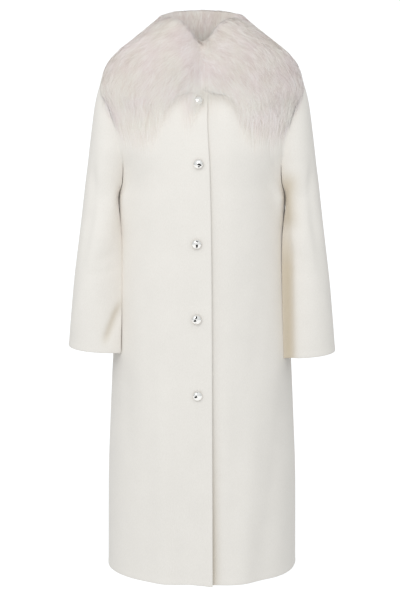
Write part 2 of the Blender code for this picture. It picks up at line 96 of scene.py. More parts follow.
# Body of the coat from the hem up to the underarm
BODY_COLUMNS = ("height", "half_width", "front_depth", "back_depth")
BODY_ROWS = (
    (0.000, 0.2052, 0.168, 0.174),
    (0.180, 0.2036, 0.167, 0.171),
    (0.360, 0.1968, 0.165, 0.167),
    (0.580, 0.1850, 0.161, 0.159),
    (0.800, 0.1738, 0.153, 0.150),
)

# Sleeves from the cuff up to the underarm. The inner end lies against the body at a place on its front;
# a pinch is how far along the sleeve's width that half sets out, away from the body
ARM_COLUMNS = (
    "height", "place", "outer_x", "outer_y", "front_depth", "back_depth",
    "right_pinch", "left_pinch", "back_pinch",
)
ARM_ROWS = (
    (0.480, 0.352, 0.2850, -0.028, 0.0459, 0.0309, 0.45, 0.45, 0.45),
    (0.535, 0.356, 0.2800, -0.026, 0.0498, 0.0351, 0.50, 0.46, 0.44),
    (0.622, 0.365, 0.2716, -0.020, 0.0569, 0.0425, 0.52, 0.44, 0.43),
    (0.710, 0.385, 0.2614, -0.010, 0.0639, 0.0601, 0.42, 0.36, 0.40),
    (0.765, 0.430, 0.2556, -0.003, 0.0660, 0.0733, 0.18, 0.15, 0.24),
    (0.800, 0.500, 0.2517, 0.000, 0.0770, 0.0750, 0.00, 0.00, 0.00),
)
ARM_GAP = 0.0009
ARM_GAP_FULL = 0.06
CUFF_TILT = 0.006
CUFF_DROP = {"right": -0.001, "left": 0.010}

# Rings from the underarm up to the neckline: the drop is how far centre front and centre back hang
# below the ring's side, and each seam is a share of the way from the centre line to the armhole fold
YOKE_COLUMNS = (
    "side_height", "front_drop", "back_drop", "half_width",
    "front_depth", "back_depth", "front_seam", "back_seam",
)
YOKE_ROWS = (
    (0.800, 0.0000, 0.000, 0.2517, 0.1530, 0.1500, 1.000, 1.000),
    (0.808, 0.0005, 0.000, 0.2508, 0.1527, 0.1497, 1.000, 1.000),
    (0.830, 0.0020, 0.000, 0.2482, 0.1518, 0.1490, 1.000, 1.000),
    (0.865, 0.0070, 0.000, 0.2430, 0.1500, 0.1478, 1.000, 1.000),
    (0.910, 0.0140, 0.002, 0.2370, 0.1460, 0.1456, 0.950, 0.950),
    (0.955, 0.0250, 0.005, 0.2308, 0.1400, 0.1418, 0.850, 0.850),
    (0.995, 0.0380, 0.010, 0.2248, 0.1330, 0.1366, 0.760, 0.755),
    (1.025, 0.0470, 0.014, 0.2178, 0.1265, 0.1310, 0.700, 0.690),
    (1.048, 0.0530, 0.017, 0.2085, 0.1200, 0.1240, 0.665, 0.650),
    (1.066, 0.0600, 0.019, 0.1960, 0.1150, 0.1170, 0.655, 0.635),
    (1.082, 0.0680, 0.020, 0.1740, 0.1105, 0.1090, 0.665, 0.640),
    (1.095, 0.0740, 0.018, 0.1430, 0.1055, 0.1000, 0.700, 0.665),
    (1.107, 0.0780, 0.013, 0.1100, 0.0985, 0.0890, 0.750, 0.710),
    (1.117, 0.0790, 0.007, 0.0800, 0.0900, 0.0770, 0.800, 0.750),
)

# Fold between body and sleeve in the lowest of those rings; above them the ring is a plain oval
FOLD_COLUMNS = ("fold_x", "fold_depth", "body_turn", "lobe_turn", "lobe_pull", "side_pull")
FOLD_ROWS = (
    (0.1738, 0.000, 90.0, -90.0, 0.103, 0.103),
    (0.1733, 0.012, 85.0, -86.0, 0.092, 0.1003),
    (0.1665, 0.047, 70.0, -66.0, 0.058, 0.088),
    (0.1640, 0.066, 60.0, -42.0, 0.050, 0.077),
    (0.1690, 0.078, 50.0, -22.0, 0.041, 0.062),
    (0.1795, 0.0745, 46.0, -2.0, 0.033, 0.046),
    (0.1890, 0.0625, 46.5, 18.0, 0.026, 0.033),
)
JOIN_ANGLE = 65.0
BODY_PULL = 0.56
JOIN_PULL = 0.65

# Front edge of the right front, to the wearer's left of the centre line, and how far it stands off
EDGE_COLUMNS = ("height", "edge_x", "lift")
EDGE_ROWS = (
    (0.000, 0.0215, 0.0075),
    (0.400, 0.0205, 0.0036),
    (0.720, 0.0185, 0.0018),
    (0.870, 0.0150, 0.0010),
    (0.960, 0.0110, 0.0000),
    (1.040, 0.0110, 0.0000),
)

# Largest hanging folds of the skirt, ridges with a depth above zero and troughs below
FOLD_FADE = 0.6
SKIRT_FOLD_COLUMNS = ("side", "hem_x", "top_x", "top_height", "half_width", "depth")
SKIRT_FOLDS = (
    ("front", -0.082, -0.080, 0.62, 0.022, 0.0045),
    ("front", -0.028, -0.062, 0.62, 0.021, -0.0055),
    ("front", 0.084, 0.124, 0.52, 0.026, 0.0045),
    ("front", 0.128, 0.166, 0.46, 0.026, -0.0035),
    ("back", -0.090, -0.070, 0.55, 0.026, 0.007),
    ("back", -0.030, -0.028, 0.50, 0.022, -0.006),
    ("back", 0.052, 0.040, 0.60, 0.026, 0.006),
    ("back", 0.112, 0.096, 0.46, 0.022, -0.005),
)

# Long soft folds of a sleeve; the turn is the share of the way round from the underarm seam
ARM_FOLD_COLUMNS = ("turn", "low", "high", "half_width", "depth")
ARM_FOLDS = (
    (0.30, 0.60, 0.94, 0.045, -0.0035),
    (0.39, 0.56, 0.90, 0.050, 0.0025),
    (0.68, 0.56, 0.84, 0.050, -0.0035),
)

# Collar along the ring from centre front (0) over the shoulder (1) to centre back (2)
COLLAR_COLUMNS = ("place", "edge_ring", "top_height")
COLLAR_ROWS = (
    (0.00, 10.0, 1.110),
    (0.10, 7.6, 1.133),
    (0.20, 5.0, 1.157),
    (0.31, 4.0, 1.169),
    (0.42, 4.1, 1.172),
    (0.52, 5.2, 1.171),
    (0.75, 7.7, 1.167),
    (1.00, 8.8, 1.165),
    (1.25, 7.6, 1.174),
    (1.50, 5.2, 1.186),
    (1.75, 4.4, 1.198),
    (2.00, 4.2, 1.203),
)

# Buttons down the right front, each sitting a little askew on its shank
BUTTON_COLUMNS = ("x", "height", "tip_degrees", "tip_towards")
BUTTONS = (
    (-0.0080, 0.9985, 4.0, 250.0),
    (-0.0072, 0.8720, 11.0, 170.0),
    (-0.0110, 0.7110, 3.0, 265.0),
    (-0.0112, 0.5580, 10.0, 15.0),
    (-0.0094, 0.4010, 11.0, 350.0),
)

# Finer grids for the cloth: rows and columns close to a folded edge, a seam and the underarm,
# cells in between, and about how wide each piece of cloth is
EDGE_OFFSETS = (0.0, 0.0003, 0.0008, 0.0016, 0.0026, 0.0050, 0.0085, 0.0110)
SEAM_OFFSETS = (0.0, 0.0008, 0.0020, 0.0045)
UNDERARM_OFFSETS = (0.0, 0.0025, 0.0060, 0.0110)
SKIRT_FINE = 72
ARM_FINE = 40
RING_FINE = 5
FRONT_FINE = 44
BACK_FINE = 84
SLEEVE_FINE = 68
FRONT_WIDTH = 0.26
BACK_WIDTH = 0.58
SLEEVE_WIDTH = 0.34

# Where the sleeves part from the body the rows are eased into each other
EVEN_PASSES = 60
EVEN_SHARE = 0.5
EVEN_REACH = 0.028

# The cloth bridges part of the hollow under the arm, between two stretches of y where this sets in
BRIDGE_DEPTH = 0.036
BRIDGE_X = 0.176
BRIDGE_HEIGHT = 0.790
BRIDGE_REACH_X = 0.030
BRIDGE_REACH_UP = 0.036
BRIDGE_FRONT = (-0.105, -0.030)
BRIDGE_BACK = (0.020, -0.010)

# How the cloth thins at a folded edge or a seam, and the slightly thicker turning along an edge
EDGE_ROUND = 0.0022
EDGE_THIN = 0.0003
SEAM_ROUND = 0.0022
SEAM_DIP = 0.0004
TURNING = 0.0105
TURNING_BLEND = 0.003
TURNING_RISE = 0.00035
DRAWN_IN = 0.00008

# Soft creases: where a line starts and ends, and how far the cloth is pushed in or out along it.
# On the body start and end are x in front or back view, on a sleeve turns from the underarm seam
CREASE_COLUMNS = ("start", "start_height", "end", "end_height", "half_width", "depth")
CREASES = {
    "front": (
        (-0.176, 0.815, -0.128, 0.905, 0.011, -0.0022),
        (-0.158, 0.800, -0.104, 0.862, 0.010, -0.0016),
        (0.178, 0.812, 0.136, 0.918, 0.011, -0.0024),
        (0.160, 0.790, 0.118, 0.850, 0.010, -0.0014),
        (-0.140, 0.640, -0.118, 0.330, 0.016, 0.0016),
        (-0.166, 0.560, -0.152, 0.240, 0.014, -0.0018),
        (-0.046, 0.300, -0.036, 0.040, 0.015, 0.0014),
        (0.046, 0.420, 0.038, 0.060, 0.014, 0.0016),
        (0.126, 0.640, 0.104, 0.420, 0.015, -0.0015),
        (0.160, 0.520, 0.128, 0.150, 0.016, 0.0018),
    ),
    "back": (
        (-0.150, 0.800, -0.080, 0.900, 0.012, -0.0020),
        (0.146, 0.806, 0.090, 0.884, 0.012, -0.0018),
        (-0.060, 0.560, -0.052, 0.180, 0.016, -0.0018),
        (0.008, 0.640, 0.012, 0.260, 0.018, 0.0016),
        (0.086, 0.520, 0.094, 0.120, 0.015, -0.0016),
        (0.150, 0.480, 0.146, 0.100, 0.016, 0.0018),
    ),
}
ARM_CREASES = (
    (0.04, 0.690, 0.22, 0.660, 0.013, -0.0022),
    (0.02, 0.655, 0.26, 0.640, 0.011, -0.0018),
    (0.06, 0.722, 0.20, 0.716, 0.012, 0.0014),
    (0.20, 0.790, 0.34, 0.860, 0.015, -0.0018),
    (0.30, 0.600, 0.42, 0.520, 0.014, 0.0014),
    (0.62, 0.700, 0.86, 0.668, 0.013, -0.0020),
    (0.70, 0.640, 0.92, 0.650, 0.012, -0.0015),
    (0.72, 0.790, 0.60, 0.850, 0.015, -0.0018),
)

# Where along its line a crease starts and where it has its full depth
CREASE_ENDS = (-0.15, 0.25)

# Grooves where a sleeve lies hard against the body, in the same columns; the shade in them, painted into the
# cloth's colour as a warm tint, with its strength as the depth; and how the sleeve swells where it touches
# the body
PRESSED_CREASES = {
    "left": ((0.050, 0.740, 0.035, 0.360, 0.012, -0.008),),
    "right": ((0.010, 0.570, 0.100, 0.500, 0.010, -0.006),),
}
PAINTED_GROOVE_SHADES = {
    "left": ((0.070, 0.850, 0.050, 0.740, 0.030, 0.75), (0.024, 0.735, 0.020, 0.360, 0.0155, 1.0)),
    "right": ((0.010, 0.585, 0.100, 0.500, 0.008, 0.5),),
}
TOUCH_RISE = 0.0006
TOUCH_REACH = 0.008

# How far from a seam, a groove, the underlap or the front edge the creases fade out
SEAM_REACH = 0.03
PRESSED_CALM = 0.006
UNDERLAP_CALM = (0.05, 0.08)
EDGE_CALM = (0.012, 0.042)

# Warm shadow of the right front's edge near the hem, painted into the colour of the left front
EDGE_PAINTED_SHADE = 0.55
EDGE_SHADE_HEIGHT = 0.42
EDGE_SHADE_WIDTH = 0.011

# Slow unevenness of hanging cloth: radians a metre across and up, and a phase
RIPPLE_DEPTH = 0.0006
RIPPLE_SLANT = 0.6
RIPPLES = ((21.0, 9.0, 0.4), (13.0, -16.0, 2.1), (34.0, 5.0, 4.0))

# Grid of the skin of hair tips: places round the neck, and falls from the foot of the stand (-1) over
# the ridge (0) to the lower edge (1) and past it
BACK_SLIT = 1e-6
SURFACE_PLACES = 360
SURFACE_FALLS = 171
LAST_FALL = 1.8
LEAST_RING = 0.2
LAST_CELL = 1.001

# The pelt lies below the tips, least at the ridge and the edge, and thins out onto the cloth
PELT_DEPTH = 0.0045
RIDGE_DEPTH = 0.0020
RIDGE_SHARE = 0.16
PELT_EDGE = (1.0, 0.78)
PELT_EDGE_LEFT = 0.25
PELT_END = 0.74
PALE_FROM = 0.35
FEATHER_FROM = 0.42
FEATHER = 0.93
PELT_TOUCH = 0.0005
PELT_STRIDE = 2

# Locks of hair: a swirl from lock to lock, and a flow away from the front edges that ends above the fringe
SWIRL = 0.16
SWIRL_ACROSS = 5.1
SWIRL_DOWN = 7.0
FLOW_REACH = 0.34
FLOW_LEAN = 0.95
FLOW_BEND = 0.45
FLOW_START = (-0.1, 0.2)
FLOW_END = (0.85, 1.05)
FLOW_ENDED = 0.85
LOCK_LEAN = 0.15
LOCK_BEND = 0.20
LOCK_LENGTHS = (0.55, 1.12)

# Single hairs in a lock, which gather towards its tip
HAIR_STEPS = (0.0, 0.36, 0.72, 1.0)
HAIR_WIDTHS = (0.85, 1.0, 0.68)
HAIR_THICKNESS = (0.6, 1.35)
HAIR_LENGTHS = (0.70, 1.08)
HAIR_LIFTS = (0.85, 1.15)
HAIR_SPREAD = 0.0062
HAIR_LEAN = 0.07
HAIR_BEND = 0.06
HAIR_SINK = 0.35
HAIR_TWIST = 1.0
HAIR_ROUNDNESS = 0.35
GATHER = 0.42
GATHER_CURVE = 0.8
LIFT_CURVE = 1.5
ROOT_SHARE = 0.55
ROOT_DEPTH = 1.05
TONE_SPREAD = 0.60
LEAST_STEP = 0.012
FIRST_FALL = -0.98

# The fringe: fewer, finer, paler and straighter hairs that trail and droop onto the cloth
THIN = (0.52, 1.06)
THIN_LEFT = 0.08
FRINGE_CALM = 0.65
FRINGE_PALE = 2.0
FRINGE_FINE = 0.3
FRINGE_LOOSE = 0.9
TRAIL = 0.010
TRAIL_FALLS = (0.75, 1.0)
DROOP = 0.0032
DROOP_FALLS = (0.78, 1.05)

# Shading of the fringe, turned upwards and, at the coat's sides, to the front
FRINGE_TURN = (0.3, 1.0, 0.0)
FRINGE_RISE = (0.0, 0.0, 0.40)
FRINGE_FRONT = 0.60
FRINGE_SIDE = 0.50

FUR_COLUMNS = (
    "name", "seed", "first_place", "last_place", "first_tip", "last_tip",
    "locks", "hairs", "length", "half_width", "least_lift", "most_lift",
)
FUR_ROWS = (
    ("fur_front_right", 11, -0.95, 0.015, 0.02, 1.02, 1500, 22, 0.070, 0.00028, -0.0010, 0.0024),
    ("fur_front_left", 12, -0.015, 0.95, 0.02, 1.02, 1500, 22, 0.070, 0.00028, -0.0010, 0.0024),
    ("fur_back_right", 13, -2.02, -0.90, 0.02, 1.06, 1250, 20, 0.070, 0.00031, -0.0010, 0.0024),
    ("fur_back_left", 14, 0.90, 2.02, 0.02, 1.06, 1250, 20, 0.070, 0.00031, -0.0010, 0.0024),
    ("fur_inside", 15, -2.0, 2.0, -0.86, 0.10, 900, 14, 0.036, 0.00030, -0.0018, 0.0034),
    ("fur_over_button", 16, -0.050, 0.004, 1.14, 1.52, 70, 14, 0.034, 0.00028, 0.0080, 0.0110),
)

# Flat cuts of the cloth: width and length of the smallest rectangle, and the area of the cut in it
CUT_COLUMNS = ("node", "width", "length", "area")
CUTS = (
    ("front_right", 0.320, 1.175, 0.2929),
    ("front_left", 0.335, 1.175, 0.3154),
    ("back", 0.605, 1.200, 0.5603),
    ("sleeve_right", 0.380, 0.745, 0.1984),
    ("sleeve_left", 0.380, 0.755, 0.2023),
)

# Colours, and the settings of each surface
WHITE = (1.0, 1.0, 1.0)
WOOL_COLOUR = (0.906, 0.864, 0.811)
WOOL_CLOUD = 0.975
WOOL_FIBRE = (0.93, 0.925, 0.915)
# Warm tint of the painted shade in the sleeve grooves and under the front edge
WOOL_PAINTED_SHADE = (0.72, 0.655, 0.545)
WOOL_ROUGH = 0.86
WOOL_NAP = (1.0, 1.0, 0.28)
WOOL_SURFACE = {"Sheen Weight": 0.22, "Sheen Roughness": 0.45, "Specular IOR Level": 0.18}
HAIR_DARK = (0.715, 0.632, 0.592)
HAIR_MIDDLE = (0.854, 0.787, 0.759)
HAIR_PALE = (0.935, 0.920, 0.897)
# Darker, warmer roots: painted shade for the depth of the fur
HAIR_ROOT_SHADE = (0.97, 0.93, 0.90)
HAIR_ROSE = (1.0, 0.980, 0.987)
HAIR_STRAW = (0.992, 1.0, 0.970)
HAIR_TONES = 1.8
HAIR_SURFACE = {"Roughness": 0.55, "Specular IOR Level": 0.30, "Sheen Weight": 0.15}
PELT_CLOUD = 0.84
PELT_PALE_CLOUD = 0.97
PELT_SURFACE = {"Roughness": 1.0, "Specular IOR Level": 0.05}
METAL_DARK = (0.82, 0.805, 0.78)
METAL_PALE = (0.86, 0.845, 0.82)
METAL_ROUGH = (0.05, 0.10)
METAL_SURFACE = {"Metallic": 1.0}
FLOOR_GREYS = (0.58, 0.60)
FLOOR_SURFACE = {"Roughness": 0.9, "Emission Color": (1.0, 1.0, 1.0, 1.0), "Emission Strength": 0.62}
CARD_GREYS = (0.008, 0.014)
CARD_SURFACE = {"Roughness": 1.0}
LOCKS_MIDDLE = 0.45
CLOUD_STOPS = (0.3, 0.7)
FIBRE_STOPS = (0.25, 0.75)
PATCH_STOPS = (0.36, 0.64)

# Camera, set up to see the coat as the photograph does
CAMERA_PLACE = (-0.0043, -2.88, -0.168)
CAMERA_TILT = 6.9
CAMERA_LENS = 81.0
CAMERA_SENSOR = 36.0
CAMERA_REACH = 50.0

# Floor and backdrop, far enough off for views from behind; the bend's angles are in radians
FLOOR_HEIGHT = -1.36
STAGE_HALF = 9.0
BACKDROP_AT = 7.0
BACKDROP_BEND = 1.5
BACKDROP_TOP = 7.0
BEND_ANGLES = (0.1, 0.5 * math.pi, 12)

# Light: a key from the left and a sky that is brightest in front and above
KEY_PLACE = (-0.9, -2.5, 1.2)
KEY_SIZE = 1.2
KEY_POWER = 16.0
KEY_AIM = (0.0, 0.0, -0.5)
SKY_TOWARDS = (-0.08, -0.80, 0.59)
SKY_DARK = (0.33, 0.335, 0.335)
SKY_BRIGHT = (0.955, 0.985, 1.0)

# Black cards in front of the buttons, seen only as the dark glints in their polish
CARD_AWAY = 0.10
CARD_COLUMNS = ("name", "button", "aside", "up", "width", "height", "roll")
CARDS = (
    ("card_second", 2, 0.036, -0.020, 0.190, 0.046, -28.0),
    ("card_third", 3, 0.000, -0.070, 0.050, 0.120, 0.0),
    ("card_third_top", 3, -0.006, 0.088, 0.066, 0.060, 0.0),
    ("card_fourth", 4, -0.056, -0.044, 0.130, 0.052, 25.0),
    ("card_fifth", 5, -0.056, -0.048, 0.134, 0.052, 25.0),
)

# The skin of hair tips: its grid, points, normals, and how far a unit of place or fall goes
Sheet = namedtuple("Sheet", "places falls skin out across_size down_size")


def columns(names, table):
    return dict(zip(names, np.array(table, float).T))


def rows(names, table):
    return [dict(zip(names, row)) for row in table]


def slopes(known, values):
    """Slopes of a smooth curve through the values that never overshoots them."""
    gaps = np.diff(known)
    rises = np.diff(values) / gaps
    inner = np.zeros(len(known))
    same_way = rises[:-1] * rises[1:] > 0
    safe = np.where(same_way, rises[:-1] + rises[1:], 1.0)
    inner[1:-1] = np.where(same_way, 2 * rises[:-1] * rises[1:] / safe, 0.0)
    inner[0] = rises[0]
    inner[-1] = rises[-1]
    return inner


def smooth(known, values, at):
    """Value of the smooth curve through (known, values) at each place."""
    at = np.clip(at, known[0], known[-1])
    tangents = slopes(known, values)
    cell = np.clip(np.searchsorted(known, at, side="right") - 1, 0, len(known) - 2)
    gap = known[cell + 1] - known[cell]
    t = (at - known[cell]) / gap
    start = (1 + 2 * t) * (1 - t) ** 2 * values[cell] + t * (1 - t) ** 2 * gap * tangents[cell]
    end = t * t * (3 - 2 * t) * values[cell + 1] + t * t * (t - 1) * gap * tangents[cell + 1]
    return start + end


def ease(share):
    share = np.clip(share, 0.0, 1.0)
    return share * share * (3 - 2 * share)


def blend(value, start, end):
    """Zero up to the start and one from the end on, with a smooth change between them."""
    return ease((value - start) / (end - start))


def hump(value, reach):
    """A smooth bump of height one at zero."""
    return np.exp(-((value / reach) ** 2))


def unit(vectors):
    return vectors / np.maximum(np.linalg.norm(vectors, axis=-1, keepdims=True), TINY)


def on_side(points, side):
    return points[..., 1] < 0 if side == "front" else points[..., 1] > 0


def bezier(start, first, second, end, t):
    return (
        (1 - t) ** 3 * start + 3 * t * (1 - t) ** 2 * first + 3 * t * t * (1 - t) * second + t**3 * end
    )


def armhole(depths, widths):
    """The fold columns for every ring: tabled in the low rings, taken from an oval in the others."""
    tabled = columns(FOLD_COLUMNS, FOLD_ROWS)
    angle = math.radians(JOIN_ANGLE)
    x = widths * math.sin(angle)
    y = depths * math.cos(angle)
    turn = np.arctan2(depths * math.sin(angle), widths * math.cos(angle))
    corner = y - (widths - x) * np.tan(turn)
    plain = {
        "fold_x": x,
        "fold_depth": y,
        "body_turn": np.degrees(turn),
        "lobe_turn": np.degrees(turn),
        "lobe_pull": JOIN_PULL * np.hypot(widths - x, y - corner),
        "side_pull": JOIN_PULL * corner,
    }
    low = len(FOLD_ROWS)
    return {name: np.concatenate([tabled[name], plain[name][low:]]) for name in FOLD_COLUMNS}


BODY = columns(BODY_COLUMNS, BODY_ROWS)
ARM = columns(ARM_COLUMNS, ARM_ROWS)
YOKE = columns(YOKE_COLUMNS, YOKE_ROWS)
RING = np.arange(len(YOKE_ROWS), dtype=float)
TOP_RING = RING[-1]
FOLD = {
    "front": armhole(YOKE["front_depth"], YOKE["half_width"]),
    "back": armhole(YOKE["back_depth"], YOKE["half_width"]),
}
EDGE = columns(EDGE_COLUMNS, EDGE_ROWS)
COLLAR = columns(COLLAR_COLUMNS, COLLAR_ROWS)
UNDERARM = BODY["height"][-1]


def body_arc(end_x, end_y, depth, turn, t):
    """From the centre line, square to it, to a fold or side point met at an angle of turn."""
    lean = np.maximum(np.sin(turn), LEAST_LEAN)
    corner_x = end_x - (depth - end_y) / lean * np.cos(turn)
    x = bezier(0.0, BODY_PULL * corner_x, end_x + BODY_PULL * (corner_x - end_x), end_x, t)
    y = bezier(depth, depth, end_y + BODY_PULL * (depth - end_y), end_y, t)
    return x, y


def lobe_arc(fold_x, fold_y, turn, pull, side_x, side_pull, t):
    """From the fold out and round to the outermost point of the ring."""
    x = bezier(fold_x, fold_x + pull * np.cos(turn), side_x, side_x, t)
    y = bezier(fold_y, fold_y - pull * np.sin(turn), side_pull, 0.0, t)
    return x, y


def skirt_point(height, place):
    """A point of the body below the underarm. Place runs from 0 at centre front to 2 at centre back."""
    along = np.abs(place)
    front = along <= 1.0
    t = 2 * np.where(front, along, CENTRE_BACK - along)
    width = smooth(BODY["height"], BODY["half_width"], height)
    depth = np.where(
        front,
        smooth(BODY["height"], BODY["front_depth"], height),
        smooth(BODY["height"], BODY["back_depth"], height),
    )
    x, y = body_arc(width, 0.0, depth, math.pi / 2, t)
    return np.stack([np.sign(place) * x, np.where(front, -y, y), height + 0.0 * x], -1)


def yoke_point(ring, place):
    """A point of the ring stack above the underarm, sleeve heads and all."""
    along = np.abs(place)
    front = along <= 1.0
    t = np.where(front, along, CENTRE_BACK - along)
    width = smooth(RING, YOKE["half_width"], ring)

    def of(name, table):
        return smooth(RING, table[name], ring)

    def either(name):
        return np.where(front, of(name, FOLD["front"]), of(name, FOLD["back"]))

    depth = np.where(front, of("front_depth", YOKE), of("back_depth", YOKE))
    drop = np.where(front, of("front_drop", YOKE), of("back_drop", YOKE))
    fold_x = either("fold_x")
    fold_y = either("fold_depth")
    body_x, body_y = body_arc(fold_x, fold_y, depth, np.radians(either("body_turn")), 2 * t)
    slit = SEAM_GAP * (1.0 - ease(ring / SLIT_RINGS))
    lobe_turn = np.radians(either("lobe_turn"))
    lobe_pull = either("lobe_pull")
    side_pull = either("side_pull")
    lobe_x, lobe_y = lobe_arc(fold_x + slit, fold_y, lobe_turn, lobe_pull, width, side_pull, 2 * t - 1)
    x = np.where(t <= FOLD_PLACE, body_x, lobe_x)
    y = np.where(t <= FOLD_PLACE, body_y, lobe_y)
    z = of("side_height", YOKE) - drop * (y / depth) ** 2
    return np.stack([np.sign(place) * x, np.where(front, -y, y), z], -1)


def body_point(level, place):
    """Level runs from 0 at the hem to 1 at the underarm and on to 2 at the neckline."""
    skirt = skirt_point(UNDERARM * np.minimum(level, 1.0), place)
    yoke = yoke_point(TOP_RING * np.maximum(level - 1.0, 0.0), place)
    return np.where((level < 1.0)[..., None], skirt, yoke)


def seam_place(level, name):
    """Where a raglan or side seam lies on the ring, from 0 at its own centre line."""
    return FOLD_PLACE * smooth(RING, YOKE[name], TOP_RING * np.maximum(level - 1.0, 0.0))


def beside_body(height, place, below):
    """Where a sleeve's inner end lies, just clear of the body."""
    out = normals(body_point, height / UNDERARM, place, -FOLD_PLACE, FOLD_PLACE)
    gap = SEAM_GAP + (ARM_GAP - SEAM_GAP) * ease(below / ARM_GAP_FULL)
    return skirt_point(height, place) + gap[..., None] * out


def arm_point(level, turn, side):
    """A point of the left sleeve below the underarm. Turn goes from the underarm seam forwards and round."""
    cuff = ARM["height"][0]
    below = 1.0 - np.minimum(level, 1.0)
    height = UNDERARM - (UNDERARM - cuff) * below

    def of(name):
        return smooth(ARM["height"], ARM[name], height)

    front = turn <= 0.5
    t = 2 * np.where(front, turn, 1.0 - turn)
    pull = np.where(front, of("front_depth"), of("back_depth")) / CUBIC_BULGE
    share = bezier(0.0, np.where(front, of(side + "_pinch"), of("back_pinch")), 1.0, 1.0, t)
    inner = beside_body(height - below * (CUFF_TILT + CUFF_DROP[side]), of("place"), below)
    x = inner[..., 0] + (of("outer_x") - inner[..., 0]) * share
    chord = inner[..., 1] + (of("outer_y") - inner[..., 1]) * share
    y = bezier(0.0, pull, pull, 0.0, t)
    tip = CUFF_TILT * (2 * t - 1) - CUFF_DROP[side]
    return np.stack([x, chord + np.where(front, -y, y), height + below * tip], -1)


def sleeve_point(level, turn, side):
    """A point of the left sleeve: a tube up to the underarm, then from raglan seam to raglan seam."""
    first = seam_place(level, "front_seam") + BEYOND_FOLD
    last = CENTRE_BACK - seam_place(level, "back_seam") - BEYOND_FOLD
    head = yoke_point(TOP_RING * np.maximum(level - 1.0, 0.0), first + turn * (last - first))
    return np.where((level < 1.0)[..., None], arm_point(level, turn, side), head)


def normals(surface, level, across, first, last):
    """Outward normals of a surface of (level, across), taken over a small step inside its own piece."""
    low = np.where(level > 1.0, 1.0, 0.0)
    high = np.where(level > 1.0, NECKLINE, 1.0 - BEYOND_FOLD)
    up = surface(np.minimum(level + STEP, high), across) - surface(np.maximum(level - STEP, low), across)
    ahead = surface(level, np.minimum(across + STEP, last))
    behind = surface(level, np.maximum(across - STEP, first))
    return unit(np.cross(ahead - behind, up))


def joined(out, level):
    """Normals with one shared direction along the underarm seam, where a sleeve's two edges meet."""
    shared = unit(out[:, 0] + out[:, -1])
    below = (level < 1.0)[:, None]
    out = out.copy()
    out[:, 0] = np.where(below, shared, out[:, 0])
    out[:, -1] = np.where(below, shared, out[:, -1])
    return out


def skirt_folds(points):
    """How far the hanging folds push the cloth out."""
    x = points[..., 0]
    height = points[..., 2]
    push = np.zeros(x.shape)
    for fold in rows(SKIRT_FOLD_COLUMNS, SKIRT_FOLDS):
        middle = fold["hem_x"] + (fold["top_x"] - fold["hem_x"]) * height / fold["top_height"]
        fade = ease((fold["top_height"] - height) / (FOLD_FADE * fold["top_height"]))
        push += np.where(
            on_side(points, fold["side"]),
            fold["depth"] * fade * hump(x - middle, fold["half_width"]), 0.0,
        )
    return push


def arm_folds(points, turn):
    """How far the long folds of a sleeve push its cloth out."""
    height = points[..., 2]
    push = np.zeros(height.shape)
    for fold in rows(ARM_FOLD_COLUMNS, ARM_FOLDS):
        along = np.clip((height - fold["low"]) / (fold["high"] - fold["low"]), 0.0, 1.0)
        bump = fold["depth"] * hump(turn - fold["turn"], fold["half_width"])
        push += bump * np.sin(math.pi * along) ** 2
    return push


def place_at_x(level, wanted_x):
    """Place on the front of each ring where x has the wanted size."""
    tries = np.linspace(-FRONT_REACH, FRONT_REACH, TRIES)
    found = []
    for each_level, x in zip(level, wanted_x):
        ring_x = body_point(np.full(tries.shape, each_level), tries)[:, 0]
        found.append(np.interp(x, ring_x, tries))
    return np.array(found)


def to_world(points):
    return points - np.array((0.0, 0.0, CARRY_HEIGHT))


def collar_places(place):
    """Places with the collar's two ends held a little off the centre line."""
    nearest = np.maximum(np.abs(place), COLLAR_END)
    return np.where(place < 0, -nearest, nearest)


def collar_level(place, fall):
    """Level of the cloth under the fur, from the neckline at a fall of 0 to the fur's edge at 1."""
    edge = smooth(COLLAR["place"], COLLAR["edge_ring"], np.abs(place))
    return 1.0 + np.maximum(TOP_RING + (edge - TOP_RING) * fall, LEAST_RING) / TOP_RING


def cloth_at(level, place):
    """Points of the body's cloth and its outward normals."""
    return body_point(level, place), normals(body_point, level, place, place - STEP, place + STEP)


def collar_sheet():
    """The fur's outer skin on a grid of (place, fall), with its normals and the size of its cells."""
    end = CENTRE_BACK - BACK_SLIT
    places = np.linspace(-end, end, SURFACE_PLACES)
    falls = np.linspace(-1.0, LAST_FALL, SURFACE_FALLS)
    place = collar_places(np.broadcast_to(places[:, None], (SURFACE_PLACES, SURFACE_FALLS)))
    fall = np.broadcast_to(np.maximum(falls, 0.0), place.shape)
    cloth, out = cloth_at(collar_level(place, fall), place)
    neck, neck_out = cloth_at(np.full(place.shape, NECKLINE), place)
    stand = smooth(COLLAR["place"], COLLAR["top_height"], np.abs(place)) - neck[..., 2]
    along = np.minimum(fall, 1.0)[..., None]
    lift = unit(out * along + (COLLAR_LEAN * unit(out * LEVEL) + UPWARDS) * (1.0 - along))
    height = COLLAR_TIP + (stand - COLLAR_TIP) * (1.0 - along[..., 0]) ** COLLAR_TAPER
    over = cloth + height[..., None] * lift
    foot = neck + COLLAR_GAP * neck_out
    up = np.clip(1.0 + falls, 0.0, 1.0)[None, :, None]
    ridge = over[:, np.argmin(np.abs(falls))][:, None]
    inside = foot + (ridge - foot) * up - NECK_FUR * np.sin(math.pi * up) * unit(neck_out * LEVEL)
    skin = to_world(np.where((falls < 0.0)[None, :, None], inside, over))
    across = np.gradient(skin, axis=0)
    down = np.gradient(skin, axis=1)
    across_size = np.linalg.norm(across, axis=-1) / (places[1] - places[0])
    down_size = np.linalg.norm(down, axis=-1) / (falls[1] - falls[0])
    return Sheet(places, falls, skin, unit(np.cross(down, across)), across_size, down_size)


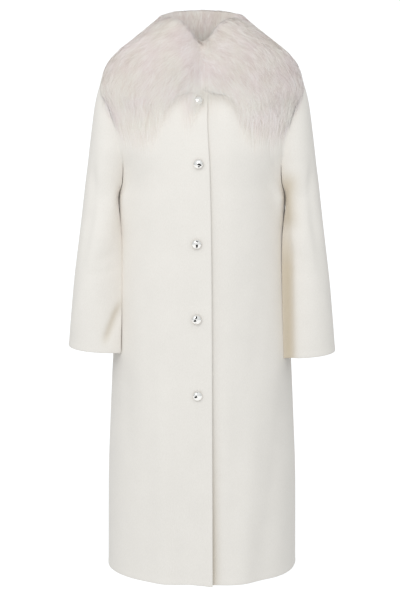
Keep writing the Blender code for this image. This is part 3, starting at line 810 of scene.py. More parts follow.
def grid_at(sheet, grid, place, fall):
    """Value between the points of a grid of (place, fall)."""

    def cell(known, at):
        share = np.clip((at - known[0]) / (known[1] - known[0]), 0, len(known) - LAST_CELL)
        return share.astype(int), (share - share.astype(int))[..., None]

    i, a = cell(sheet.places, place)
    j, b = cell(sheet.falls, fall)
    low = grid[i, j] * (1 - a) + grid[i + 1, j] * a
    high = grid[i, j + 1] * (1 - a) + grid[i + 1, j + 1] * a
    return low * (1 - b) + high * b


def pelt_depth(fall):
    """How far below the skin of hair tips the pelt lies: little at the ridge and at the lower edge."""
    depth = PELT_DEPTH + (RIDGE_DEPTH - PELT_DEPTH) * hump(fall, RIDGE_SHARE)
    return depth * (PELT_EDGE_LEFT + (1.0 - PELT_EDGE_LEFT) * blend(fall, *PELT_EDGE))


def make_mesh(name, points, corners, sizes):
    """A mesh from point, corner and face-size arrays."""
    mesh = bpy.data.meshes.new(name)
    mesh.vertices.add(len(points))
    mesh.vertices.foreach_set("co", np.ascontiguousarray(points, np.float32).ravel())
    mesh.loops.add(len(corners))
    mesh.loops.foreach_set("vertex_index", np.ascontiguousarray(corners, np.int32))
    mesh.polygons.add(len(sizes))
    starts = np.concatenate([[0], np.cumsum(sizes)[:-1]])
    mesh.polygons.foreach_set("loop_start", starts.astype(np.int32))
    mesh.update(calc_edges=True)
    mesh.validate()
    mesh.polygons.foreach_set("use_smooth", np.ones(len(mesh.polygons), bool))
    return mesh


def ring_faces(index):
    """Faces between the closed rows of a grid of point numbers."""
    after = np.roll(index, -1, axis=1)
    return np.stack([index[:-1], after[:-1], after[1:], index[1:]], -1).reshape(-1, 4)


def store(mesh, name, values):
    made = mesh.attributes.new(name, "FLOAT", "POINT")
    made.data.foreach_set("value", np.ascontiguousarray(values, np.float32))


def add_object(name, data):
    made = bpy.data.objects.new(name, data)
    bpy.context.scene.collection.objects.link(made)
    return made


def add_piece(name, mesh, material, slot, *nodes):
    """A piece of the coat, in place of the solids that are named."""
    piece = add_object(name, mesh)
    mesh.materials.append(material)
    if nodes:
        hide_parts(*nodes)
    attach(piece, "root")
    return piece


def creased(across, up, creases, width=1.0):
    """Soft troughs and ridges along straight lines that fade out at both ends; width scales across."""
    push = np.zeros(across.shape)
    for crease in rows(CREASE_COLUMNS, creases):
        run_x = (crease["end"] - crease["start"]) * width
        run_y = crease["end_height"] - crease["start_height"]
        length = math.hypot(run_x, run_y)
        from_x = (across - crease["start"]) * width
        from_y = up - crease["start_height"]
        along = (from_x * run_x + from_y * run_y) / length**2
        off = (from_x * run_y - from_y * run_x) / length
        fade = blend(along, *CREASE_ENDS) * blend(1.0 - along, *CREASE_ENDS)
        push += crease["depth"] * fade * hump(off, crease["half_width"])
    return push


def body_creases(points):
    front, back = (creased(points[..., 0], points[..., 2], CREASES[side]) for side in ("front", "back"))
    return np.where(points[..., 1] < 0, front, back) + ripple(points)


def ripple(points):
    x, y, z = np.moveaxis(points, -1, 0)
    total = np.zeros(x.shape)
    for across, up, phase in RIPPLES:
        total += np.sin(across * x + up * z + RIPPLE_SLANT * across * y + phase)
    return RIPPLE_DEPTH * total


def spaced(cells, length, first, last):
    """Shares of a length, close together at both ends."""
    start = np.array(first) / length
    end = 1.0 - np.array(last)[::-1] / length
    return np.concatenate([start, np.linspace(start[-1], end[0], cells + 1)[1:-1], end])


def fine_levels(low_rows, low_height):
    """Rows from the lower edge to the neckline."""
    low = spaced(low_rows, low_height, EDGE_OFFSETS, UNDERARM_OFFSETS)
    return np.concatenate([low, 1.0 + np.linspace(0.0, 1.0, int(TOP_RING) * RING_FINE + 1)[1:]])


def lengths_from(grid, axis, end):
    """Distance of each point from one edge of the grid, along its row or column."""
    steps = np.linalg.norm(np.diff(grid, axis=axis), axis=-1)
    zero = np.zeros_like(np.take(steps, [0], axis=axis))
    run = np.concatenate([zero, np.cumsum(steps, axis=axis)], axis=axis)
    return run if end == "first" else np.take(run, [-1], axis=axis) - run


def seam_calm(points, sewn):
    """Creases fade out where a panel meets its neighbour, so that the two stay flush."""
    calm = np.ones(points.shape[:-1])
    for end in sewn:
        calm = calm * ease(lengths_from(points, 1, end) / SEAM_REACH)
    return calm


def bridged(points):
    """Brings the cloth in front of the underarm forward, all pieces alike, so the hollow is less deep."""
    x, y, z = np.moveaxis(points, -1, 0)
    share = hump(np.abs(x) - BRIDGE_X, BRIDGE_REACH_X) * hump(z - BRIDGE_HEIGHT, BRIDGE_REACH_UP)
    share = share * blend(y, *BRIDGE_FRONT) * blend(y, *BRIDGE_BACK)
    return points - np.stack([0.0 * y, BRIDGE_DEPTH * share, 0.0 * y], -1)


def evened(points, calm):
    """Eases the run from row to row at the height of the underarm."""
    made = bridged(points)
    for _ in range(EVEN_PASSES):
        below = np.linalg.norm(made[1:-1] - made[:-2], axis=-1, keepdims=True)
        above = np.linalg.norm(made[2:] - made[1:-1], axis=-1, keepdims=True)
        mean = (made[:-2] * above + made[2:] * below) / (below + above)
        near = EVEN_SHARE * calm[1:-1] * hump(made[1:-1, :, 2] - UNDERARM, EVEN_REACH)
        made[1:-1] += near[..., None] * (mean - made[1:-1])
    return made


def front_panel(side):
    """Half of the front, from its free edge to its raglan and side seam."""
    level = fine_levels(SKIRT_FINE, UNDERARM)
    centre = body_point(level, np.zeros(level.shape))
    lap_x = smooth(EDGE["height"], EDGE["edge_x"], centre[:, 2])
    edge_x = lap_x - UNDERLAP if side == "left" else lap_x
    first = place_at_x(level, edge_x)
    last = seam_place(level, "front_seam") * (1.0 if side == "left" else -1.0)
    share = spaced(FRONT_FINE, FRONT_WIDTH, EDGE_OFFSETS, SEAM_OFFSETS)
    place = first[:, None] + (last - first)[:, None] * share
    levels = np.broadcast_to(level[:, None], place.shape)
    points = body_point(levels, place)
    out = normals(body_point, levels, place, -FOLD_PLACE, FOLD_PLACE)
    from_edge = np.abs(points[..., 0] - edge_x[:, None])
    push = skirt_folds(points)
    fine = body_creases(points)
    if side == "left":
        push -= TUCK_DEPTH * blend(points[..., 0], TUCK_END_X, TUCK_FULL_X)
        fine *= blend(from_edge, *UNDERLAP_CALM)
    else:
        lift = smooth(EDGE["height"], EDGE["lift"], points[..., 2])
        push += lift * (1.0 - ease(from_edge / EDGE_LIFT_WIDTH))
        fine *= blend(from_edge, *EDGE_CALM)
    sewn = ("last",)
    calm = seam_calm(points, sewn)
    points = evened(points + (push + fine * calm)[..., None] * out, calm)
    # Painted shade: the shadow of the right front's edge, darkening the left front's colour near the hem
    shade = np.zeros(points.shape[:-1])
    if side == "left":
        low = blend(points[..., 2], EDGE_SHADE_HEIGHT, 0.0)
        shade = EDGE_PAINTED_SHADE * low * hump(points[..., 0] - lap_x[:, None], EDGE_SHADE_WIDTH)
    return points, out, sewn, shade


def back_panel():
    """The back, from seam to seam."""
    level = fine_levels(SKIRT_FINE, UNDERARM)
    share = 2.0 * spaced(BACK_FINE, BACK_WIDTH, SEAM_OFFSETS, SEAM_OFFSETS) - 1.0
    reach = seam_place(level, "back_seam")
    place = np.where(share < 0, -1.0, 1.0) * (CENTRE_BACK - np.abs(share) * reach[:, None])
    levels = np.broadcast_to(level[:, None], place.shape)
    points = body_point(levels, place)
    middle = np.sign(place) * CENTRE_BACK
    out = normals(body_point, levels, place, middle - FOLD_PLACE, middle + FOLD_PLACE)
    sewn = ("first", "last")
    calm = seam_calm(points, sewn)
    push = skirt_folds(points) + body_creases(points) * calm
    points = evened(points + push[..., None] * out, calm)
    return points, out, sewn, np.zeros(points.shape[:-1])


def sleeve_panel(side):
    """A sleeve, from seam to seam; the right one is the mirror of a left one with its own sizes."""
    level = fine_levels(ARM_FINE, UNDERARM - ARM["height"][0])
    share = spaced(SLEEVE_FINE, SLEEVE_WIDTH, SEAM_OFFSETS, SEAM_OFFSETS)
    turn = np.broadcast_to(share, (len(level), len(share)))
    levels = np.broadcast_to(level[:, None], turn.shape)

    def surface(at_level, at_turn):
        return sleeve_point(at_level, at_turn, side)

    def arm_creases(creases):
        return creased(turn, points[..., 2], creases, SLEEVE_WIDTH)

    points = surface(levels, turn)
    out = joined(normals(surface, levels, turn, 0.0, 1.0), level)
    from_seam, to_seam = (lengths_from(points, 1, end) for end in ("first", "last"))
    sewn = ("first", "last")
    calm = seam_calm(points, sewn)
    push = arm_folds(points, turn) + (arm_creases(ARM_CREASES) + ripple(points)) * calm
    push += arm_creases(PRESSED_CREASES[side]) * ease(from_seam / PRESSED_CALM)
    beside = hump(np.minimum(from_seam, to_seam), TOUCH_REACH)
    push += TOUCH_RISE * beside * ease((UNDERARM - points[..., 2]) / ARM_GAP_FULL)
    # Painted shade: a warm darkening of the colour in the grooves where the sleeve lies against the body
    shade = np.clip(arm_creases(PAINTED_GROOVE_SHADES[side]), 0.0, 1.0)
    points = evened(points + push[..., None] * out, calm)
    if side == "right":
        points, out = (grid[:, ::-1] * MIRROR for grid in (points, out))
        shade = shade[:, ::-1]
    return points, out, sewn, shade


def cloth_piece(node, points, out, sewn, shade, material):
    """A thin closed shell of cloth, rounded at its free edges and dipped along its seams."""
    half = np.full(points.shape[:-1], 0.5 * CLOTH_WALL)
    middle = points - 0.5 * CLOTH_WALL * out
    for axis, end in [(0, "first")] + [(1, end) for end in ("first", "last") if end not in sewn]:
        away = lengths_from(points, axis, end)
        rise = TURNING_RISE * ease((TURNING - away) / TURNING_BLEND)
        round_off = np.sqrt(1.0 - (1.0 - np.clip(away / EDGE_ROUND, 0.0, 1.0)) ** 2)
        half = (half + rise) * round_off + EDGE_THIN * (1.0 - round_off)
    for end in sewn:
        half = half - SEAM_DIP * (1.0 - ease(lengths_from(points, 1, end) / SEAM_ROUND))
    outer = middle + half[..., None] * out
    inner = middle - half[..., None] * out
    for end in sewn:
        edge, beside = (0, 1) if end == "first" else (-1, -2)
        for grid in (outer, inner):
            grid[:, edge] += DRAWN_IN * unit(grid[:, beside] - grid[:, edge])
    count, across = points.shape[:2]
    loop = np.concatenate([outer, inner[:, ::-1]], axis=1)
    index = np.arange(2 * count * across).reshape(count, 2 * across)
    upper = index[[0, -1], :across]
    lower = index[[0, -1], across:][:, ::-1]
    ends = np.stack([upper[:, :-1], upper[:, 1:], lower[:, 1:], lower[:, :-1]], -1)
    faces = np.concatenate([ring_faces(index), ends[0, :, ::-1], ends[1]])
    name = "wool_" + node
    mesh = make_mesh(name, to_world(loop.reshape(-1, 3)), faces.ravel(), np.full(len(faces), 4))
    # The painted shade, stored on the outer and inner points alike
    store(mesh, "painted_shade", np.concatenate([shade, shade[:, ::-1]], axis=1).ravel())
    return add_piece(name, mesh, material, node, node)


def under_side(places, fall):
    """The side of the collar that lies on the cloth, nearest to it at the feathered edge."""
    place = np.broadcast_to(collar_places(places)[:, None], (len(places), len(fall)))
    cloth, out = cloth_at(collar_level(place, fall), place)
    down = blend(fall, FEATHER_FROM, PELT_END)[None, :, None]
    return to_world(cloth + (COLLAR_GAP + (PELT_TOUCH - COLLAR_GAP) * down) * out)


def fur_pelt(sheet, material):
    """The dense short coat under the long hair: the collar's own form, sunk below the hair tips."""
    keep = np.nonzero(sheet.falls <= PELT_END)[0][::PELT_STRIDE]
    falls = sheet.falls[keep]
    left = np.nonzero(sheet.places > 0)[0][::PELT_STRIDE]
    right = np.nonzero(sheet.places < 0)[0][::-PELT_STRIDE][::-1]
    round_neck = np.concatenate([left, right])
    sunk = sheet.skin[:, keep] - pelt_depth(falls)[None, :, None] * sheet.out[:, keep]
    over = sunk[round_neck]
    below = under_side(sheet.places[round_neck], falls[falls >= 0.0])
    outside = over[:, -below.shape[1]:]
    outside += FEATHER * blend(falls, FEATHER_FROM, PELT_END)[-below.shape[1]:, None] * (below - outside)
    loop = np.concatenate([over, below[:, ::-1]], axis=1)
    count, around = loop.shape[:2]
    index = np.arange(count * around).reshape(count, around)
    faces = np.roll(ring_faces(index)[:, ::-1], 1, axis=1)
    corners = np.concatenate([faces.ravel(), index[0], index[-1][::-1]])
    mesh = make_mesh("fur_pelt", loop.reshape(-1, 3), corners, [4] * len(faces) + [around, around])
    low = np.broadcast_to(blend(falls, PALE_FROM, PELT_END), over.shape[:2])
    store(mesh, "pelt_low", np.concatenate([low, np.ones(below.shape[:2])], axis=1).ravel())
    return add_piece("fur_pelt", mesh, material, "fur_collar", "fur_collar")


def lock_tips(draw, sizes, sheet):
    """Place and fall of each lock's tip, spread evenly over the skin and more thinly in the fringe."""
    inside = (sheet.places >= sizes["first_place"]) & (sheet.places <= sizes["last_place"])
    within = (sheet.falls >= sizes["first_tip"]) & (sheet.falls <= sizes["last_tip"])
    thin = 1.0 - (1.0 - THIN_LEFT) * blend(sheet.falls, *THIN)
    weight = sheet.down_size * sheet.across_size * inside[:, None] * (within * thin)[None, :]
    locks = sizes["locks"]
    cell = draw.choice(weight.size, locks, p=(weight / weight.sum()).ravel())

    def scattered(known, at):
        return known[at] + (draw.random(locks) - 0.5) * (known[1] - known[0])

    place = scattered(sheet.places, cell // len(sheet.falls))
    return place, scattered(sheet.falls, cell % len(sheet.falls))


def hair_lines(draw, sizes, sheet):
    """Centre lines of the hairs, the skin's normal along them, their falls, fringe shares and lock tones."""
    tip_place, tip_fall = lock_tips(draw, sizes, sheet)
    locks = sizes["locks"]
    swirl = SWIRL * np.sin(SWIRL_ACROSS * tip_place + SWIRL_DOWN * tip_fall + sizes["seed"])
    flow = np.sign(tip_place) * hump(tip_place, FLOW_REACH) * blend(tip_fall, *FLOW_START)
    flow = flow * (1.0 - FLOW_ENDED * blend(tip_fall, *FLOW_END))
    fringe = blend(tip_fall, *THIN)
    loose = 1.0 - FRINGE_CALM * fringe
    lean = FLOW_LEAN * flow + loose * (swirl + draw.normal(0.0, LOCK_LEAN, locks))
    bend = loose * draw.normal(0.0, LOCK_BEND, locks) - FLOW_BEND * flow
    length = sizes["length"] * draw.uniform(*LOCK_LENGTHS, locks)
    lifted = draw.uniform(sizes["least_lift"], sizes["most_lift"], locks)
    tone = draw.normal(0.0, 1.0, locks) * loose + FRINGE_PALE * fringe

    def each(values):
        return np.repeat(values, sizes["hairs"])[:, None]

    count = locks * sizes["hairs"]
    share = np.array(HAIR_STEPS)
    low = each(fringe)
    wide = draw.normal(0.0, 1.0, (count, 2)) * HAIR_SPREAD * (1.0 + low)
    wide = wide[:, None] * (1.0 - GATHER * (1.0 - FRINGE_LOOSE * low) * share**GATHER_CURVE)[..., None]
    length = each(length) * draw.uniform(*HAIR_LENGTHS, (count, 1))
    lean = each(lean) + draw.normal(0.0, HAIR_LEAN, (count, 1))
    bend = each(bend) + draw.normal(0.0, HAIR_BEND, (count, 1))
    tip_place, tip_fall = each(tip_place), each(tip_fall)
    step_across = grid_at(sheet, sheet.across_size[..., None], tip_place[:, 0], tip_fall[:, 0])
    step_down = grid_at(sheet, sheet.down_size[..., None], tip_place[:, 0], tip_fall[:, 0])
    back = (1.0 - share) * length
    aside = back * np.sin(lean) + 2.0 * length * bend * share * (1.0 - share)
    place = tip_place + (wide[..., 0] - aside) / np.maximum(step_across, LEAST_STEP)
    place = np.mod(place + CENTRE_BACK, 2 * CENTRE_BACK) - CENTRE_BACK
    trail = TRAIL * np.abs(draw.normal(0.0, 1.0, (count, 1))) * blend(tip_fall, *TRAIL_FALLS)
    fall = tip_fall + (wide[..., 1] - back * np.cos(lean) + trail * share**2) / step_down
    fall = np.maximum(fall, FIRST_FALL)
    depth = pelt_depth(np.clip(fall, -1.0, 1.0))
    rise = ease(share / ROOT_SHARE)
    lift = each(lifted) * draw.uniform(*HAIR_LIFTS, (count, 1)) * share**LIFT_CURVE
    height = (lift - HAIR_SINK * depth * draw.random((count, 1))) * rise
    height = height - ROOT_DEPTH * depth * (1.0 - rise) - DROOP * blend(fall, *DROOP_FALLS)
    facing = unit(grid_at(sheet, sheet.out, place, fall))
    centre = grid_at(sheet, sheet.skin, place, fall) + height[..., None] * facing
    return centre, facing, fall, low, each(tone)[:, 0]


def both_sides(values):
    """Values along a hair for its ribbon: left side, right side, then the tip."""
    return np.concatenate([values[:, :-1], values[:, :-1], values[:, -1:]], axis=1)


def soft_normals(along, side, facing, fall):
    """Shading normals of the ribbons: mostly the fur's own, lifted in the fringe, a little rounded."""
    low = blend(fall, *THIN)[..., None]
    upright = facing * FRINGE_TURN + FRINGE_RISE
    upright[..., 1] -= FRINGE_FRONT * hump(facing[..., 1], FRINGE_SIDE)
    facing = facing * (1.0 - low) + unit(upright) * low
    flat = np.cross(along, side)
    flat = flat * np.sign((flat * facing).sum(-1, keepdims=True) + TINY)
    return unit((1.0 - HAIR_ROUNDNESS) * both_sides(facing) + HAIR_ROUNDNESS * both_sides(flat))


def fur_hair(sizes, sheet, material):
    """Locks of long tapered hairs that lie along the fall of the collar, each a narrow ribbon."""
    name = sizes["name"]
    draw = np.random.default_rng(sizes["seed"])
    centre, facing, fall, fringe, tone = hair_lines(draw, sizes, sheet)
    count = len(centre)
    along = unit(np.gradient(centre, axis=1))
    side = unit(np.cross(along, facing))
    twist = draw.uniform(-HAIR_TWIST, HAIR_TWIST, (count, 1, 1))
    side = side * np.cos(twist) + np.cross(along, side) * np.sin(twist)
    half = sizes["half_width"] * draw.uniform(*HAIR_THICKNESS, (count, 1, 1))
    half = half * np.array(HAIR_WIDTHS)[:, None] * (1.0 - FRINGE_FINE * fringe[..., None])
    tone = TONE_SPREAD * tone + draw.normal(0.0, TONE_SPREAD, count)
    pairs = len(HAIR_WIDTHS)
    points = both_sides(centre)
    points[:, :pairs] -= half * side[:, :-1]
    points[:, pairs:-1] += half * side[:, :-1]
    shading = soft_normals(along, side, facing, fall)
    turned_away = (np.cross(side, along)[:, :-1] * shading[:, :pairs]).sum((1, 2)) < 0.0
    swapped = [*range(pairs, 2 * pairs), *range(pairs), 2 * pairs]
    points[turned_away] = points[turned_away][:, swapped]
    corner = [(i, i + pairs, i + pairs + 1, i + 1) for i in range(pairs - 1)]
    corner = np.append(corner, (pairs - 1, 2 * pairs - 1, 2 * pairs))
    corners = np.arange(count)[:, None] * (2 * pairs + 1) + corner
    face_sizes = np.tile([4] * (pairs - 1) + [3], count)
    mesh = make_mesh(name, points.reshape(-1, 3), corners.ravel(), face_sizes)
    store(mesh, "hair_tone", np.repeat(tone, 2 * pairs + 1))
    store(mesh, "hair_along", np.tile(both_sides(np.array([HAIR_STEPS]))[0], count))
    mesh.normals_split_custom_set_from_vertices(shading.reshape(-1, 3))
    piece = add_piece(name, mesh, material, "fur_collar")
    piece.visible_shadow = False


def button_profile():
    """Half outline of a button, finer than the solid's: shank, rolled rim and polished dome."""
    outline = [(SHANK_RADIUS, 0.0), (SHANK_RADIUS, SHANK_HEIGHT)]
    rim = 0.5 * BUTTON_RIM
    for angle in np.radians(np.linspace(*RIM_TURNS)):
        radius = BUTTON_RADIUS + rim * (math.cos(angle) - 1.0)
        outline.append((radius, SHANK_HEIGHT + rim + rim * math.sin(angle)))
    for angle in np.radians(np.linspace(*DOME_TURNS)):
        top = SHANK_HEIGHT + BUTTON_RIM + BUTTON_DOME * math.sin(angle)
        outline.append((DOME_SHARE * BUTTON_RADIUS * math.cos(angle), top))
    return np.array(outline)


def level_at(height):
    """Level of the ring whose centre front has this height."""
    ring = np.linspace(0.0, TOP_RING, TRIES)
    centre = yoke_point(ring, np.zeros(ring.shape))[:, 2]
    return 1.0 + float(np.interp(height, centre, ring)) / TOP_RING


def button_piece(node, sizes, material):
    """A button on the right front, tipped a little on its shank."""
    height = sizes["height"]
    level = np.array([height / UNDERARM if height < UNDERARM else level_at(height)])
    place = place_at_x(level, np.array([sizes["x"]]))
    spot = body_point(level, place)
    out = normals(body_point, level, place, -FRONT_REACH, FRONT_REACH)
    spot = Vector(to_world(spot + skirt_folds(spot)[:, None] * out)[0])
    axis = Vector(out[0])
    angle = math.radians(sizes["tip_degrees"])
    towards = math.radians(sizes["tip_towards"])
    lean = axis.cross(Vector((math.cos(towards), 0.0, math.sin(towards)))).normalized()
    turn = Matrix.Rotation(angle, 3, lean) @ axis.to_track_quat("Z", "Y").to_matrix()
    foot = spot + axis * (SEAM_GAP + SHANK_RADIUS * math.sin(angle))
    radius, up = button_profile()[:, :, None].transpose(1, 0, 2)
    angles = np.linspace(0.0, 2 * math.pi, BUTTON_SIDES, endpoint=False)
    rings = np.stack([radius * np.cos(angles), radius * np.sin(angles), up + 0.0 * angles], -1)[:-1]
    points = np.concatenate([rings.reshape(-1, 3), [(0.0, 0.0, up[-1, 0])]])
    index = np.arange(len(points) - 1).reshape(len(rings), BUTTON_SIDES)
    quads = ring_faces(index)
    cap = np.stack([index[-1], np.roll(index[-1], -1), np.full(BUTTON_SIDES, len(points) - 1)], -1)
    corners = np.concatenate([quads.ravel(), cap.ravel(), index[0][::-1]])
    placed = points @ np.array(turn).T + np.array(foot)
    mesh = make_mesh("polished_" + node, placed, corners, [4] * len(quads) + [3] * len(cap) + [BUTTON_SIDES])
    return add_piece("polished_" + node, mesh, material, node, node)


def new_material(name, settings):
    made = bpy.data.materials.new(name)
    made.use_nodes = True
    put(made.node_tree.nodes["Principled BSDF"], settings)
    return made, made.node_tree


def put(node, settings):
    for socket, value in settings.items():
        node.inputs[socket].default_value = value


def feed(tree, links, into="Principled BSDF"):
    for socket, source in links.items():
        tree.links.new(source, tree.nodes[into].inputs[socket])


def add_node(tree, kind, settings, links):
    """A node with values on some of its sockets and links into others."""
    made = tree.nodes.new("ShaderNode" + kind)
    put(made, settings)
    feed(tree, links, made.name)
    return made


def noise(tree, where, scale, detail, rough=0.55):
    settings = {"Scale": scale, "Detail": detail, "Roughness": rough}
    return add_node(tree, "TexNoise", settings, {"Vector": where}).outputs["Fac"]


def ramp(tree, value, *stops):
    """Colours along a value; a stop is a position with a colour or a grey."""
    made = add_node(tree, "ValToRGB", {}, {"Fac": value})
    elements = made.color_ramp.elements
    elements[0].position = stops[0][0]
    elements[1].position = stops[-1][0]
    for position, _ in stops[1:-1]:
        elements.new(position)
    for element, (_, colour) in zip(elements, stops):
        element.color = (*np.broadcast_to(colour, 3), 1.0)
    return made.outputs["Color"]


def clouded(tree, value, first, last, stops=CLOUD_STOPS):
    return ramp(tree, value, *zip(stops, (first, last)))


def times(share, colour):
    return tuple(share * part for part in colour)


def mapped(tree, scale=WHITE):
    """Object coordinates stretched along the axes."""
    where = tree.nodes.new("ShaderNodeTexCoord").outputs["Object"]
    return add_node(tree, "Mapping", {"Scale": scale}, {"Vector": where}).outputs["Vector"]


def attribute(tree, name):
    made = tree.nodes.new("ShaderNodeAttribute")
    made.attribute_name = name
    return made.outputs["Fac"]


def bump(tree, strength, distance, **links):
    return add_node(tree, "Bump", {"Strength": strength, "Distance": distance}, links).outputs["Normal"]


def mix(tree, kind, first, second, factor=None):
    made = tree.nodes.new("ShaderNodeMix")
    made.data_type = "RGBA"
    made.blend_type = kind
    put(made, {"Factor": 1.0})
    feed(tree, {"A": first, "B": second}, made.name)
    if factor is not None:
        feed(tree, {"Factor": factor}, made.name)
    return made.outputs["Result"]


def wool(name):
    """Felted wool coating: a brushed nap that runs down the coat, faint clouding, a soft bloom, and warm
    shade painted into its colour in the sleeve grooves and under the front edge.
    """
    made, tree = new_material(name, WOOL_SURFACE)
    nap = mapped(tree, WOOL_NAP)
    cloud = noise(tree, mapped(tree), scale=16.0, detail=3.0)
    fibre = noise(tree, nap, scale=950.0, detail=3.0, rough=0.65)
    fleck = noise(tree, nap, scale=300.0, detail=2.0)
    base = clouded(tree, cloud, times(WOOL_CLOUD, WOOL_COLOUR), WOOL_COLOUR)
    colour = mix(tree, "MULTIPLY", base, clouded(tree, fibre, WOOL_FIBRE, WHITE, FIBRE_STOPS))
    # Painted shade: the colour darkens to a warm tint where the shell's painted shade is strong
    painted_shade_colour = ramp(tree, attribute(tree, "painted_shade"), (0.0, WHITE), (1.0, WOOL_PAINTED_SHADE))
    coarse = bump(tree, strength=0.22, distance=0.0010, Height=fleck)
    feed(tree, {
        "Base Color": mix(tree, "MULTIPLY", colour, painted_shade_colour),
        "Roughness": clouded(tree, fleck, WOOL_ROUGH, 1.0),
        "Normal": bump(tree, strength=0.30, distance=0.0005, Height=fibre, Normal=coarse),
    })
    return made


def hair(name):
    """Pale hair, a little darker and warmer at the root as painted shade of the fur's depth, with grey-rose
    and ivory locks.
    """
    made, tree = new_material(name, HAIR_SURFACE)
    tones = {"From Min": -HAIR_TONES, "From Max": HAIR_TONES}
    tone = add_node(tree, "MapRange", tones, {"Value": attribute(tree, "hair_tone")}).outputs["Result"]
    locks = ramp(tree, tone, (0.0, HAIR_DARK), (LOCKS_MIDDLE, HAIR_MIDDLE), (1.0, HAIR_PALE))
    # Painted shade: darker and warmer towards the root of each hair
    depth = ramp(tree, attribute(tree, "hair_along"), (0.0, HAIR_ROOT_SHADE), (ROOT_SHARE, WHITE))
    cloud = noise(tree, mapped(tree), scale=17.0, detail=2.0)
    patches = clouded(tree, cloud, HAIR_ROSE, HAIR_STRAW, PATCH_STOPS)
    feed(tree, {"Base Color": mix(tree, "MULTIPLY", mix(tree, "MULTIPLY", locks, depth), patches)})
    return made


def pelt(name):
    """Short dense hair, paler towards the feathered edge."""
    made, tree = new_material(name, PELT_SURFACE)
    even = mapped(tree)
    cloud = noise(tree, even, scale=60.0, detail=3.0)
    fuzz = noise(tree, even, scale=420.0, detail=3.0, rough=0.7)
    high = clouded(tree, cloud, times(PELT_CLOUD, HAIR_MIDDLE), HAIR_MIDDLE)
    pale = clouded(tree, cloud, times(PELT_PALE_CLOUD, HAIR_PALE), HAIR_PALE)
    feed(tree, {
        "Base Color": mix(tree, "MIX", high, pale, attribute(tree, "pelt_low")),
        "Normal": bump(tree, strength=0.8, distance=0.002, Height=fuzz),
    })
    return made


def polished(name):
    """Mirror-bright metal with the faint waviness of buffing."""
    made, tree = new_material(name, METAL_SURFACE)
    wave = noise(tree, mapped(tree), scale=260.0, detail=2.0)
    feed(tree, {
        "Base Color": clouded(tree, wave, METAL_DARK, METAL_PALE),
        "Roughness": clouded(tree, wave, *METAL_ROUGH),
        "Normal": bump(tree, strength=0.05, distance=0.0004, Height=wave),
    })
    return made


def matt(name, greys, settings):
    """Plain grey with a faint clouding, for the floor and the cards."""
    made, tree = new_material(name, settings)
    cloud = noise(tree, mapped(tree), scale=2.0, detail=2.0)
    feed(tree, {"Base Color": clouded(tree, cloud, *greys)})
    return made


def build_coat():
    panels = {
        "front_right": front_panel("right"),
        "front_left": front_panel("left"),
        "back": back_panel(),
        "sleeve_right": sleeve_panel("right"),
        "sleeve_left": sleeve_panel("left"),
    }
    cloth = wool("ivory_wool")
    for cut in rows(CUT_COLUMNS, CUTS):
        piece = cloth_piece(cut["node"], *panels[cut["node"]], cloth)
    sheet = collar_sheet()
    fur_pelt(sheet, pelt("fur_underlayer"))
    strands = hair("fur_hair")
    for sizes in rows(FUR_COLUMNS, FUR_ROWS):
        fur_hair(sizes, sheet, strands)
    metal = polished("polished_metal")
    for number, sizes in enumerate(rows(BUTTON_COLUMNS, BUTTONS), start=1):
        button_piece(f"button_{number}", sizes, metal)


def stage_object(name, points, faces, material):
    """A piece of the studio that throws no shadow and adds no soft light."""
    mesh = make_mesh(name, points, np.ravel(faces), np.full(len(faces), 4))
    mesh.materials.append(material)
    made = add_object(name, mesh)
    made.visible_diffuse = False
    made.visible_shadow = False
    return made


def dark_card(card):
    """A card that only the polish of its button sees."""
    middle = np.array(bpy.data.objects[f"polished_button_{card['button']}"].bound_box).mean(0)
    place = middle + (card["aside"], -CARD_AWAY, card["up"])
    x = 0.5 * card["width"] * np.array((-1.0, 1.0, 1.0, -1.0))
    z = 0.5 * card["height"] * np.array((-1.0, -1.0, 1.0, 1.0))
    roll = math.radians(card["roll"])
    across = x * math.cos(roll) - z * math.sin(roll)
    up = x * math.sin(roll) + z * math.cos(roll)
    points = place + np.stack([across, 0.0 * x, up], -1)
    made = stage_object(card["name"], points, [(0, 1, 2, 3)], matt("dark_card", CARD_GREYS, CARD_SURFACE))
    made.visible_camera = False


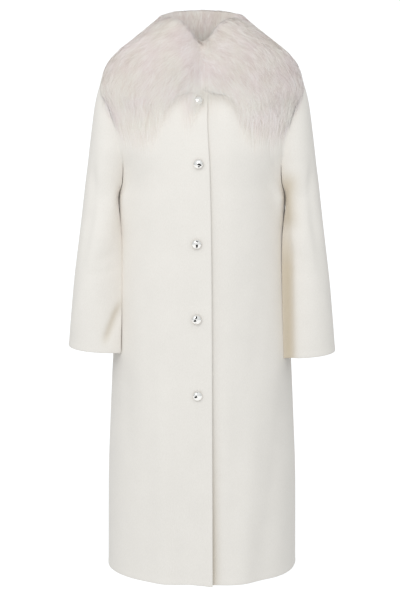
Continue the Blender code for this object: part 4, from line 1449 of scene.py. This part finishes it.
def backdrop():
    """Pale floor that curves up into a backdrop."""
    angles = np.linspace(*BEND_ANGLES)
    bend = BACKDROP_BEND * np.stack([np.sin(angles), 1.0 - np.cos(angles)], -1) + (BACKDROP_AT, 0.0)
    flat = [(-STAGE_HALF, 0.0), (BACKDROP_AT, 0.0)]
    top = [(BACKDROP_AT + BACKDROP_BEND, BACKDROP_TOP)]
    y, up = np.concatenate([flat, bend, top]).T
    z = up + FLOOR_HEIGHT
    points = np.concatenate([np.stack([np.full(y.shape, x), y, z], -1) for x in (-STAGE_HALF, STAGE_HALF)])
    index = np.arange(len(points)).reshape(2, -1)
    faces = np.stack([index[0, :-1], index[1, :-1], index[1, 1:], index[0, 1:]], -1)
    stage_object("floor", points, faces, matt("pale_floor", FLOOR_GREYS, FLOOR_SURFACE))


def sky():
    """Soft light from all round, brightest in one direction."""
    world = bpy.data.worlds.new("studio")
    bpy.context.scene.world = world
    world.use_nodes = True
    tree = world.node_tree
    where = tree.nodes.new("ShaderNodeTexCoord")
    facing = tree.nodes.new("ShaderNodeVectorMath")
    facing.operation = "DOT_PRODUCT"
    facing.inputs[1].default_value = Vector(SKY_TOWARDS).normalized()
    tree.links.new(where.outputs["Generated"], facing.inputs[0])
    share = add_node(tree, "MapRange", {"From Min": -1.0}, {"Value": facing.outputs["Value"]})
    colour = ramp(tree, share.outputs["Result"], (0.0, SKY_DARK), (1.0, SKY_BRIGHT))
    feed(tree, {"Color": colour}, "Background")


def key_light():
    lamp = bpy.data.lights.new("key", "AREA")
    lamp.shape = "RECTANGLE"
    lamp.size = lamp.size_y = KEY_SIZE
    lamp.energy = KEY_POWER
    lit = add_object("key", lamp)
    lit.location = KEY_PLACE
    lit.rotation_euler = (Vector(KEY_AIM) - Vector(KEY_PLACE)).to_track_quat("-Z", "Y").to_euler()


def camera():
    eye = bpy.data.cameras.new("camera")
    eye.sensor_fit = "VERTICAL"
    eye.sensor_height = CAMERA_SENSOR
    eye.lens = CAMERA_LENS
    eye.clip_end = CAMERA_REACH
    made = add_object("camera", eye)
    made.location = CAMERA_PLACE
    made.rotation_euler = (math.radians(90.0 - CAMERA_TILT), 0.0, 0.0)
    bpy.context.scene.camera = made
    bpy.context.scene.view_settings.view_transform = "Standard"


def build_studio():
    backdrop()
    for card in rows(CARD_COLUMNS, CARDS):
        dark_card(card)
    sky()
    key_light()
    camera()


build_coat()
build_studio()
